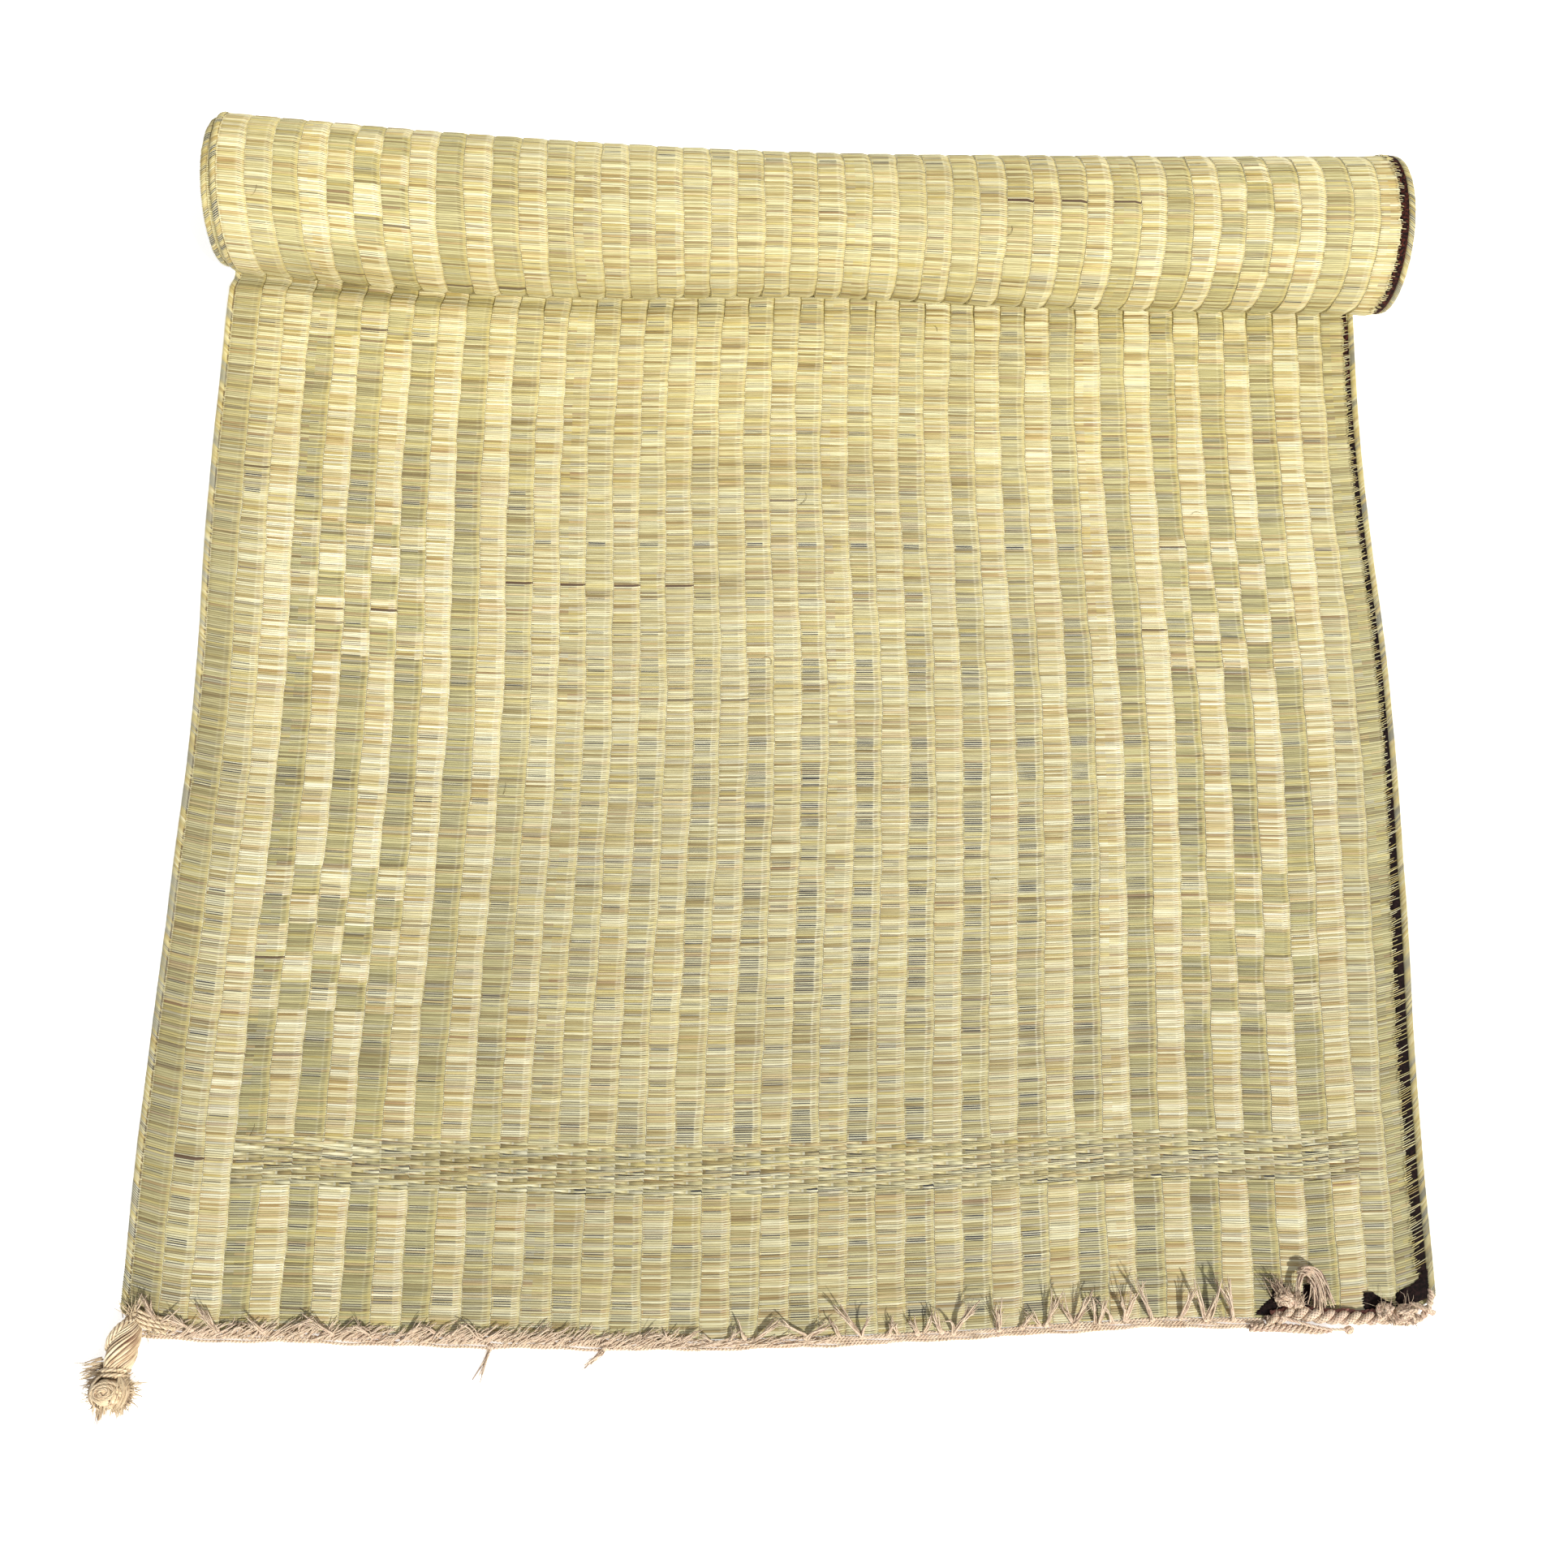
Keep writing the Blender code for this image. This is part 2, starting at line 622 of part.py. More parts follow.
def stand_on_origin(objects):
    """Move every piece so that the origin lies under the middle of the whole mat."""
    bpy.context.view_layer.update()
    graph = bpy.context.evaluated_depsgraph_get()
    points = np.array([vert.co for item in objects for vert in item.evaluated_get(graph).data.vertices])
    low, high = points.min(axis=0), points.max(axis=0)
    middle = Vector(((low[0] + high[0]) / 2, (low[1] + high[1]) / 2, low[2]))
    for item in bpy.context.scene.objects:
        for vert in item.data.vertices:
            vert.co -= middle
    print("box", [round(float(v), 4) for v in high - low], "middle", [round(v, 5) for v in middle])


def main():
    for item in list(bpy.data.objects):
        bpy.data.objects.remove(item, do_unlink=True)
    pieces = [build_sheet(), build_binding(), build_corner_rope(), build_tail()]
    stand_on_origin(pieces)


main()
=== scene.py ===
"""A woven grass mat, partly rolled up, dressed for its looks.

The flat part shows the mat's top face, and the roll shows its under face. Every reed, edge cord,
knot and rope yarn that shows is modelled, and the finishes are laid over them by shader nodes.
X runs along the reeds, Y from the bound front edge to the roll, and Z up from the floor.
"""
from __future__ import annotations

import logging
import math
from dataclasses import dataclass, field
from enum import Enum
from typing import NamedTuple, Sequence

import bmesh
import bpy
import numpy as np
from mathutils import Matrix, Vector

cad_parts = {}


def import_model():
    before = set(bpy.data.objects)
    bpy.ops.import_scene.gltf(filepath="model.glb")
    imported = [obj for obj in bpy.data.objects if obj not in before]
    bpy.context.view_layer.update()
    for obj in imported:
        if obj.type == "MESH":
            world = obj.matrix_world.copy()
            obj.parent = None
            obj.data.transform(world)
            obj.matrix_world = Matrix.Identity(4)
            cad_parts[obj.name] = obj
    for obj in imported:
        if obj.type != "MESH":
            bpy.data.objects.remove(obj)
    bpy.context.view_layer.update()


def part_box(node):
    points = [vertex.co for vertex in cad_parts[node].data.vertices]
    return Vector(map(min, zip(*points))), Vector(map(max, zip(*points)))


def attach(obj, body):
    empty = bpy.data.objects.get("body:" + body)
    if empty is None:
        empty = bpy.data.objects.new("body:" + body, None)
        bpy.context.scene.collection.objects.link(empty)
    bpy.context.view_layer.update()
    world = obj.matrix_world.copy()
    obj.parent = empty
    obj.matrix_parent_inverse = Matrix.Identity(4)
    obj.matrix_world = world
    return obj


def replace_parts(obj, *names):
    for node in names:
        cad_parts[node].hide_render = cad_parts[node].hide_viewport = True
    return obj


log = logging.getLogger("mat")

PICTURE_SIDE = 1932
Colour = tuple[float, float, float]


class Face(Enum):
    """The two faces of the mat."""
    TOP = "top"
    UNDER = "under"


class Side(Enum):
    """The two side edges of the mat, with the sign of X there."""
    LEFT = -1
    RIGHT = 1


# The form of the whole mat

class RollSection(NamedTuple):
    """The roll's circle at one place along it."""
    x: float
    axis_y: float
    radius: float


class FrontPoint(NamedTuple):
    """Where the last reed and the outer side of the binding lie at one place along the front edge."""
    x: float
    reed_y: float
    cord_y: float


class Shift(NamedTuple):
    """How far the sheet lies to the right, at a distance or after a number of turns."""
    at: float
    shift: float


class Hump(NamedTuple):
    """How high the sheet rises just in front of the roll."""
    x: float
    height: float


ROLL = (
    RollSection(x=-0.60, axis_y=1.107, radius=0.0805),
    RollSection(x=-0.38, axis_y=1.086, radius=0.0810),
    RollSection(x=-0.22, axis_y=1.079, radius=0.0790),
    RollSection(x=0.00, axis_y=1.080, radius=0.0737),
    RollSection(x=0.26, axis_y=1.072, radius=0.0774),
    RollSection(x=0.60, axis_y=1.070, radius=0.0800),
)

FRONT = (
    FrontPoint(x=-0.600, reed_y=-0.0100, cord_y=-0.0300),
    FrontPoint(x=-0.576, reed_y=-0.0175, cord_y=-0.0325),
    FrontPoint(x=-0.440, reed_y=-0.0240, cord_y=-0.0350),
    FrontPoint(x=-0.267, reed_y=-0.0270, cord_y=-0.0378),
    FrontPoint(x=-0.046, reed_y=-0.0273, cord_y=-0.0365),
    FrontPoint(x=0.064, reed_y=-0.0226, cord_y=-0.0315),
    FrontPoint(x=0.175, reed_y=-0.0165, cord_y=-0.0242),
    FrontPoint(x=0.286, reed_y=-0.0080, cord_y=-0.0165),
    FrontPoint(x=0.352, reed_y=-0.0042, cord_y=-0.0124),
    FrontPoint(x=0.440, reed_y=-0.0036, cord_y=-0.0140),
    FrontPoint(x=0.485, reed_y=-0.0046, cord_y=-0.0160),
    FrontPoint(x=0.530, reed_y=-0.0002, cord_y=-0.0112),
    FrontPoint(x=0.574, reed_y=0.0036, cord_y=-0.0070),
    FrontPoint(x=0.600, reed_y=0.0150, cord_y=0.0000),
)

SWAY = (
    Shift(at=-0.03, shift=-0.0030),
    Shift(at=0.18, shift=-0.0030),
    Shift(at=0.55, shift=0.0042),
    Shift(at=0.91, shift=-0.0044),
    Shift(at=1.06, shift=0.0000),
)

DRIFT = (
    Shift(at=0.0, shift=0.0000),
    Shift(at=0.5, shift=0.0160),
    Shift(at=1.0, shift=0.0110),
    Shift(at=1.5, shift=0.0060),
    Shift(at=2.2, shift=0.0010),
)

HUMPS = (
    Hump(x=-0.60, height=0.0110),
    Hump(x=-0.40, height=0.0120),
    Hump(x=-0.15, height=0.0060),
    Hump(x=0.15, height=0.0015),
    Hump(x=0.60, height=0.0000),
)


def smooth(t: np.ndarray | float) -> np.ndarray | float:
    """Ease from 0 to 1."""
    t = np.clip(t, 0.0, 1.0)
    return t * t * (3 - 2 * t)


def read_table(rows: Sequence[tuple], key: str, name: str, value: np.ndarray | float) -> np.ndarray:
    """Read a table's column between its rows, on a smooth curve.

    Args:
        rows: the table.
        key: the column that says where each row lies.
        name: the column to read.
        value: the places to read it at.
    Returns:
        The column's values there.
    """
    places = np.array([getattr(row, key) for row in rows])
    values = np.array([getattr(row, name) for row in rows])
    value = np.clip(np.asarray(value, float), places[0], places[-1])
    row = np.clip(np.searchsorted(places, value) - 1, 0, len(places) - 2)
    span = places[row + 1] - places[row]
    slopes = np.gradient(values, places)
    t = (value - places[row]) / span
    start = (1 + 2 * t) * (1 - t) ** 2 * values[row] + t * (1 - t) ** 2 * slopes[row] * span
    end = t * t * (3 - 2 * t) * values[row + 1] - t * t * (1 - t) * slopes[row + 1] * span
    return start + end


@dataclass(frozen=True)
class MatForm:
    """The surface that the mat lies in: flat from the front edge, then wound with its top face inwards."""
    width: float = 1.200
    thickness: float = 0.0028
    flat_length: float = 1.100
    turns: float = 2.2
    turn_pitch: float = 0.0048
    usual_radius: float = 0.0778
    hump_peak: float = 0.072
    hump_front: float = 0.22
    hump_back: float = 0.048
    edge_lift: float = 0.0022
    edge_lift_wave: float = 0.31
    edge_lift_reach: float = 0.09
    edge_lift_offset: float = 0.8
    offset: tuple[float, float, float] = (0.0, 0.0, 0.0)

    @classmethod
    def fitted(cls, low: Sequence[float]) -> MatForm:
        """Return the form, moved so that its lowest corner is the given one."""
        plain = cls()
        u = np.concatenate([np.linspace(-0.6, 0.6, 241)] * 60)
        v = np.repeat(np.linspace(0.0, plain.flat_length + 0.49, 60), 241)
        points = plain.place(u, v, np.zeros_like(u), Face.UNDER)
        return cls(offset=tuple(float(a - b) for a, b in zip(low, points.min(axis=0))))

    def turns_at(self, v: np.ndarray) -> np.ndarray:
        """Return how many turns of the roll lie before a place along the mat."""
        wound = np.maximum(v - self.flat_length, 0.0)
        radius, pitch = self.usual_radius, self.turn_pitch
        return (radius - np.sqrt(radius * radius - pitch * wound / math.pi)) / pitch

    def length_at(self, turns: float) -> float:
        """Return the place along the mat after a number of turns."""
        wound = 2 * math.pi * (self.usual_radius * turns - self.turn_pitch * turns * turns / 2)
        return self.flat_length + wound

    def place(self, u: np.ndarray, v: np.ndarray, lift: np.ndarray, face: Face) -> np.ndarray:
        """Put points of the mat where they lie.

        Args:
            u: places across the mat, from its middle line.
            v: places along the mat, from its front edge.
            lift: heights above the named face.
            face: the face that the heights start from.
        Returns:
            One row of X, Y and Z for each point.
        """
        axis_y = read_table(ROLL, "x", "axis_y", u)
        radius = read_table(ROLL, "x", "radius", u)
        reed_y = read_table(FRONT, "x", "reed_y", u)
        height = self.thickness + lift if face is Face.TOP else -lift
        y = reed_y + (axis_y - reed_y) * np.minimum(v / self.flat_length, 1.0)
        flat_z = self.hump(u, axis_y - y) + self.edge_rise(u, y) + height
        flat_x = u + read_table(SWAY, "at", "shift", y)
        turns = self.turns_at(v)
        arm = radius - self.turn_pitch * turns - height
        angle = 2 * math.pi * turns
        wound = v > self.flat_length
        x = np.where(wound, u + read_table(DRIFT, "at", "shift", turns), flat_x)
        y = np.where(wound, axis_y + arm * np.sin(angle), y)
        z = np.where(wound, radius - arm * np.cos(angle), flat_z)
        return np.stack([x, y, z], axis=-1) + np.array(self.offset)

    def hump(self, u: np.ndarray, before_axis: np.ndarray) -> np.ndarray:
        """Return how high the sheet lies off the floor in front of the roll."""
        height = read_table(HUMPS, "x", "height", u)
        front = smooth((self.hump_front - before_axis) / (self.hump_front - self.hump_peak)) ** 1.5
        back = smooth((before_axis - self.hump_back) / (self.hump_peak - self.hump_back))
        return height * np.where(before_axis > self.hump_peak, front, back)

    def edge_rise(self, u: np.ndarray, y: np.ndarray) -> np.ndarray:
        """Return how far the side edges wave off the floor."""
        near_edge = smooth((np.abs(u) - self.width / 2 + self.edge_lift_reach) / self.edge_lift_reach)
        wave = np.sin(2 * math.pi * y / self.edge_lift_wave + np.sign(u) * self.edge_lift_offset)
        return self.edge_lift * near_edge * np.maximum(wave, 0.0) * smooth((0.96 - y) / 0.15)

    def moved(self, points: np.ndarray) -> np.ndarray:
        """Move points given from the front edge's middle to where the mat lies."""
        return np.asarray(points, float) + np.array(self.offset)


# The weave

class DarkReed(NamedTuple):
    """A brown or mouldy stretch of one reed: its place along the mat, columns and depth."""
    face: Face
    along: float
    first: int
    last: int
    depth: float


DARK_REEDS = (
    DarkReed(Face.TOP, 0.729, 11, 17, 0.95),
    DarkReed(Face.TOP, 0.607, 17, 19, 0.75),
    DarkReed(Face.TOP, 0.824, 21, 22, 0.80),
    DarkReed(Face.TOP, 0.690, 4, 4, 0.85),
    DarkReed(Face.TOP, 0.691, 6, 6, 0.90),
    DarkReed(Face.TOP, 0.676, 4, 5, 0.60),
    DarkReed(Face.TOP, 0.943, 3, 8, 0.55),
    DarkReed(Face.TOP, 0.948, 0, 4, 0.60),
    DarkReed(Face.TOP, 0.900, 9, 12, 0.35),
    DarkReed(Face.TOP, 0.838, 1, 2, 0.85),
    DarkReed(Face.TOP, 0.800, 0, 7, 0.45),
    DarkReed(Face.TOP, 0.372, 0, 9, 0.55),
    DarkReed(Face.TOP, 0.338, 3, 3, 0.80),
    DarkReed(Face.TOP, 0.244, 0, 5, 0.55),
    DarkReed(Face.TOP, 0.148, 1, 1, 0.95),
    DarkReed(Face.TOP, 0.775, 36, 37, 0.80),
    DarkReed(Face.TOP, 0.684, 35, 36, 0.75),
    DarkReed(Face.TOP, 0.661, 37, 38, 0.55),
    DarkReed(Face.TOP, 0.445, 26, 31, 0.50),
    DarkReed(Face.TOP, 0.300, 38, 40, 0.60),
    DarkReed(Face.TOP, 0.400, 34, 35, 0.70),
    DarkReed(Face.TOP, 0.520, 7, 9, 0.50),
    DarkReed(Face.TOP, 1.000, 5, 6, 0.80),
    DarkReed(Face.UNDER, 1.352, 29, 33, 0.95),
    DarkReed(Face.UNDER, 1.400, 6, 6, 0.80),
    DarkReed(Face.UNDER, 1.462, 4, 4, 0.90),
    DarkReed(Face.UNDER, 1.470, 8, 10, 0.85),
    DarkReed(Face.UNDER, 1.318, 25, 26, 0.50),
    DarkReed(Face.UNDER, 1.430, 19, 20, 0.55),
)


class CheckRow(NamedTuple):
    """A stretch of the mat in which the columns of the check patches change places."""
    start: float
    end: float


CHECK_ROWS = (
    CheckRow(0.288, 0.315), CheckRow(0.342, 0.370), CheckRow(0.397, 0.4255),
    CheckRow(0.642, 0.671), CheckRow(0.703, 0.730), CheckRow(0.760, 0.786),
    CheckRow(0.992, 1.020), CheckRow(1.048, 1.076),
    CheckRow(1.270, 1.300), CheckRow(1.329, 1.361), CheckRow(1.390, 1.420),
)


@dataclass(frozen=True)
class Weave:
    """Where the warp strings and reeds of the mat lie, and which cells are pale, olive or gappy."""
    columns: int = 44
    edge: float = 0.592
    spread: float = 0.34
    strip: float = 0.27
    step: float = 0.035
    slip: float = 0.42
    reed_pitch: float = 0.0021
    check_columns: tuple[int, ...] = (4, 5, 6)
    half_checks: tuple[int, ...] = (3, 7)
    twill_start: float = 0.1260
    twill_end: float = 0.1722
    left_contrast: tuple[float, ...] = (0, 0, 0, 1, 1, 1, 1, 1, 0.95, 0.85, 0.7, 0.5, 0.3, 0.1)
    edge_olive: tuple[float, ...] = (0.88, 0.50, 0.10)

    def border(self, column: np.ndarray) -> np.ndarray:
        """Return where the warp pair before a column lies across the mat."""
        pitch = 2 * self.edge / self.columns
        return -self.edge + pitch * (column + self.spread * np.sin(math.pi * column / self.columns))

    def lines(self) -> tuple[np.ndarray, np.ndarray]:
        """Return the lines along which the woven faces are drawn: places across, and column numbers."""
        number = [-0.15, 0.0]
        for k in range(1, self.columns + 1):
            number += [k - self.strip, k - self.step, float(k)]
        number = np.array(number + [self.columns + 0.15])
        return self.border(number), number

    def contrast(self, column: np.ndarray) -> np.ndarray:
        """Return how much a column differs from its neighbours, positive where its top face is olive."""
        left = np.zeros_like(column, dtype=float)
        for k, strength in enumerate(self.left_contrast):
            left[column == k] = strength * (1 if k % 2 else -1)
        right = np.interp(column, (12, 14, 20, 26, 30, 33, 36, 43), (0, 0.12, 0.15, 0.22, 0.4, 0.75, 1, 1))
        return left + right * np.where(column % 2 == 0, 1, -1)

    def swapped(self, column: np.ndarray, along: np.ndarray, inner: tuple[int, ...]) -> np.ndarray:
        """Say which cells lie in the check patches, in the given columns counted from the side edges."""
        from_edge = np.minimum(column, self.columns - 1 - column)
        in_row = np.zeros(np.shape(along), bool)
        for row in CHECK_ROWS:
            in_row |= (along >= row.start) & (along < row.end)
        return in_row & np.isin(from_edge, inner)

    def olive(self, column: np.ndarray, along: np.ndarray, face: Face) -> np.ndarray:
        """Return how olive each cell is, from 0, pale, to 1."""
        shade = 0.5 + 0.5 * self.contrast(column)
        from_edge = np.minimum(column, self.columns - 1 - column)
        for k, value in enumerate(self.edge_olive):
            shade = np.where(from_edge == k, value, shade)
        shade = np.where(self.swapped(column, along, self.check_columns), 1 - shade, shade)
        if face is Face.TOP:
            part = self.swapped(column, along, self.half_checks)
            shade = np.where(part, 0.24, shade)
            shade = np.where(self.in_twill(column, along), 0.48, shade)
            return np.clip(shade, 0, 1)
        return np.clip(1 - shade, 0, 1)

    def in_twill(self, column: np.ndarray, along: np.ndarray) -> np.ndarray:
        """Say which cells lie in the slanting band near the front."""
        return (along > self.twill_start) & (along < self.twill_end) & (column >= 3) & (column <= 41)

    def gaps(self, column: np.ndarray, along: np.ndarray, face: Face) -> np.ndarray:
        """Return how open the reeds of each cell lie."""
        even = column % 2 == 0
        middle = np.interp(column, (0, 4, 10, 16, 22, 30, 36, 43), (0.5, 0.45, 0.4, 0.6, 0.95, 1, 0.75, 0.5))
        tight = np.interp(column, (0, 4, 10, 20, 30, 43), (0.25, 0.18, 0.32, 0.30, 0.16, 0.14))
        open_set = np.where(column < 12, ~even, even)
        value = np.where(open_set, middle, tight)
        value *= np.interp(along, (0.0, 0.1, 0.5, 0.8, 1.1, 1.11), (0.85, 1.0, 1.0, 0.55, 0.45, 0.42))
        if face is Face.TOP:
            middle_rows = np.abs(along - (self.twill_start + self.twill_end) / 2) < 0.006
            value = np.where(self.in_twill(column, along), np.where(even & middle_rows, 1.0, 0.35), value)
        return value

    def brown(self, column: np.ndarray, along: np.ndarray, face: Face) -> np.ndarray:
        """Return how brown each cell is."""
        value = np.where(np.broadcast_arrays(column, along)[0] == 0, 0.13 if face is Face.TOP else 0.0, 0.0)
        for reed in DARK_REEDS:
            if reed.face is face:
                near = np.abs(along - reed.along) < 0.5 * self.reed_pitch
                shown = (column >= reed.first) & (column <= reed.last) & (column % 2 == reed.first % 2)
                value = np.where(near & shown, reed.depth, value)
        return value

    def float_phase(self, number: np.ndarray, reed: np.ndarray) -> np.ndarray:
        """Return how far along the slanting band's long floats a place lies, in floats.

        A float passes over two columns, and the next reed's float starts half a column further on.
        """
        along = reed * self.reed_pitch
        falls = (number < 8) & (along > (self.twill_start + self.twill_end) / 2)
        return number / 2 + np.where(falls, 0.25, -0.25) * reed + 64

    def row_shift(self, number: np.ndarray, reed: np.ndarray, face: Face) -> np.ndarray:
        """Return how far each row of reeds steps aside, in reeds, at a line across the mat."""
        column = np.floor(number + 1e-6).astype(int)
        slipped = self.slip * self.at_step(number)
        plain = np.where(column % 2 == 0, 0.25, -0.25)
        if face is Face.UNDER:
            return slipped - plain
        along = reed * self.reed_pitch
        falls = (number < 8) & (along > (self.twill_start + self.twill_end) / 2)
        phase = self.float_phase(number, np.floor(reed))
        slanted = (phase - np.floor(phase) - 0.5) * np.where(falls, -1.1, 1.1)
        return np.where(self.in_twill(column, along), slanted, plain + slipped)

    def at_step(self, number: np.ndarray) -> np.ndarray:
        """Say which lines lie at the low right side of a column."""
        return np.abs(number - np.floor(number) - 1 + self.step) < 1e-6


# Mesh making

class MeshMaker:
    """Collects grids, tubes, balls and fibres in one mesh, with a map that follows their surface."""

    def __init__(self, map_name: str = "lay") -> None:
        """Start an empty mesh whose map has the given name."""
        self.bm = bmesh.new()
        self.lay = self.bm.loops.layers.uv.new(map_name)
        self.hollow = self.bm.verts.layers.float.new("hollow")

    def grid(self, points: np.ndarray, lay: np.ndarray, close: bool = False,
             hollow: np.ndarray | None = None) -> None:
        """Add a grid of faces.

        Args:
            points: an array of rows and columns of points.
            lay: the map's two numbers for each point.
            close: whether the first and last columns meet, and the ends are filled.
            hollow: how deep in a groove each point lies, from 0 to 1, where the jute finish paints shade.
        """
        rows, columns = points.shape[:2]
        old = len(self.bm.faces)
        made = bmesh.ops.create_grid(self.bm, x_segments=columns - 1, y_segments=rows - 1, size=0.5)
        cell = {}
        for vert in made["verts"]:
            column = round((vert.co.x + 0.5) * (columns - 1))
            row = round((vert.co.y + 0.5) * (rows - 1))
            cell[vert] = (row, column)
            vert.co = points[row, column]
            if hollow is not None:
                vert[self.hollow] = hollow[row, column]
        self.bm.faces.ensure_lookup_table()
        for number in range(old, len(self.bm.faces)):
            for loop in self.bm.faces[number].loops:
                loop[self.lay].uv = lay[cell[loop.vert]]
        if close:
            bmesh.ops.remove_doubles(self.bm, verts=made["verts"], dist=1e-7)
            rim = {edge for vert in made["verts"] if vert.is_valid for edge in vert.link_edges
                   if edge.is_boundary}
            bmesh.ops.holes_fill(self.bm, edges=list(rim), sides=0)

    def tube(self, path: np.ndarray, radius: np.ndarray | float, sides: int, twist: float = 0.02,
             yarns: tuple[int, float] = (0, 0.0), strands: tuple[int, float] = (0, 0.0),
             wobble: float = 0.0) -> None:
        """Add a closed tube.

        Args:
            path: the points that its middle line follows.
            radius: its radius at each point.
            sides: how many sides it has.
            twist: the length of one turn of the yarns.
            yarns: how many yarns show on it as ridges, and the depth of their grooves as a share of the radius.
            strands: the same for the thicker strands that the yarns form.
            wobble: how unevenly the yarns wind.
        """
        forward, level, upward = frames(path)
        steps = np.linalg.norm(np.diff(path, axis=0), axis=1)
        along = np.concatenate([[0.0], np.cumsum(steps)])
        angle = np.linspace(0, 2 * math.pi, sides + 1)
        angle[-1] = 0.0
        radius = np.broadcast_to(np.asarray(radius, float), along.shape)
        reach = np.ones((len(path), sides + 1))
        hollow = np.zeros_like(reach)
        turned = angle[None, :] + 2 * math.pi * along[:, None] / twist
        turned = turned + wobble * np.sin(2 * angle[None, :] + along[:, None] * 190)
        for (count, depth), sharp in ((yarns, 2.0), (strands, 16.0)):
            if count:
                dip = (0.5 - 0.5 * np.cos(count * turned)) ** 1.5
                reach = reach * (1 - depth * dip)
                # How deep in a groove each point lies, for the painted groove shade.
                hollow = np.maximum(hollow, dip ** sharp)
        out = (level[:, None, :] * np.cos(angle)[None, :, None]
               + upward[:, None, :] * np.sin(angle)[None, :, None])
        points = path[:, None, :] + out * (reach * radius[:, None])[:, :, None]
        around = np.linspace(0, 1, sides + 1)
        lay = np.stack(np.broadcast_arrays(along[:, None], around[None, :]), axis=-1)
        self.grid(points, lay, close=True, hollow=hollow)

    def ball(self, centre: np.ndarray, radius: tuple[float, float, float], detail: int, seed: int,
             lumps: float, yarns: int = 0) -> None:
        """Add a lumpy ball, ridged by yarns that wind around it.

        Args:
            centre: its middle.
            radius: its half sizes along X, Y and Z.
            detail: how often its faces are divided.
            seed: the start of its chance numbers.
            lumps: how uneven it is, as a share of its size.
            yarns: how many yarns show across it.
        """
        rng = np.random.default_rng(seed)
        made = bmesh.ops.create_icosphere(self.bm, subdivisions=detail, radius=1.0)["verts"]
        waves = rng.normal(size=(7, 3)) * 2.2
        phases = rng.uniform(0, 6.28, 7)
        pole = Vector(rng.normal(size=3)).normalized()
        faces = {face for vert in made for face in vert.link_faces}
        for vert in made:
            way = vert.co.copy()
            lump = sum(math.sin(Vector(w).dot(way) + p) for w, p in zip(waves, phases)) / 7
            swirl = way.dot(pole)
            turn = math.atan2(way.dot(pole.orthogonal()), way.dot(pole.cross(pole.orthogonal())))
            ridge = abs(math.sin(yarns * swirl * 1.6 + turn)) if yarns else 0.0
            scale = 1 + lumps * lump + (0.10 * ridge if yarns else 0.0)
            vert.co = Vector([c + w * r * scale for c, w, r in zip(centre, way, radius)])
            # How deep between the yarn ridges each point lies, for the painted groove shade.
            vert[self.hollow] = (1 - ridge) ** 2 if yarns else 0.0
        for face in faces:
            for loop in face.loops:
                gap = loop.vert.co - Vector(centre)
                loop[self.lay].uv = (gap.x + gap.z * 0.5, gap.y * 30)

    def fibres(self, paths: np.ndarray, radius: np.ndarray | float, sides: int = 3,
               taper: float = 0.65) -> None:
        """Add thin tapering fibres.

        Args:
            paths: for each fibre, the points that it follows.
            radius: each fibre's radius at its root.
            sides: how many sides they have.
            taper: how much thinner they end.
        """
        count, rings = paths.shape[:2]
        radius = np.broadcast_to(np.asarray(radius, float), (count,))
        angle = np.arange(sides + 1) * 2 * math.pi / sides
        template = MeshMaker()
        unit = np.zeros((rings, sides + 1, 3))
        unit[:, :, 0], unit[:, :, 1] = np.cos(angle), np.sin(angle)
        unit[:, :, 2] = np.arange(rings)[:, None]
        unit[:, -1] = unit[:, 0]
        lay = np.stack(np.broadcast_arrays(np.arange(rings)[:, None] * 0.004,
                                           np.linspace(0, 1, sides + 1)[None, :]), axis=-1)
        template.grid(unit, lay, close=True)
        shape = bpy.data.meshes.new("fibre_shape")
        template.bm.to_mesh(shape)
        template.bm.free()
        ways = np.zeros((count, rings, 2, 3))
        for k in range(count):
            _, ways[k, :, 0], ways[k, :, 1] = frames(paths[k])
        thin = 1 - taper * np.linspace(0, 1, rings) ** 1.5
        local = np.array([vert.co for vert in shape.vertices])
        ring = np.rint(local[:, 2]).astype(int)
        for k in range(count):
            out = ways[k, ring, 0] * local[:, :1] + ways[k, ring, 1] * local[:, 1:2]
            placed = paths[k, ring] + out * (radius[k] * thin[ring])[:, None]
            shape.vertices.foreach_set("co", placed.astype(np.float32).ravel())
            shade = np.full(len(ring), 0.75 * (k * 0.618 % 1.0) ** 2, np.float32)
            shape.attributes["hollow"].data.foreach_set("value", shade)
            self.bm.from_mesh(shape)
        bpy.data.meshes.remove(shape)

    def finish(self, name: str, finish: bpy.types.Material, sharp: float = 60.0) -> bpy.types.Object:
        """Make the mesh an object.

        Args:
            name: the piece's name.
            finish: its material.
            sharp: the angle in degrees past which an edge stays sharp.
        Returns:
            The new object.
        """
        bmesh.ops.recalc_face_normals(self.bm, faces=self.bm.faces)
        mesh = bpy.data.meshes.new(name)
        self.bm.to_mesh(mesh)
        self.bm.free()
        mesh.shade_smooth()
        mesh.set_sharp_from_angle(angle=math.radians(sharp))
        return show(name, mesh, finish)


def show(name: str, mesh: bpy.types.Mesh, finish: bpy.types.Material) -> bpy.types.Object:
    """Put a mesh in the scene as an object with one material."""
    mesh.materials.append(finish)
    made = bpy.data.objects.new(name, mesh)
    bpy.context.scene.collection.objects.link(made)
    return made


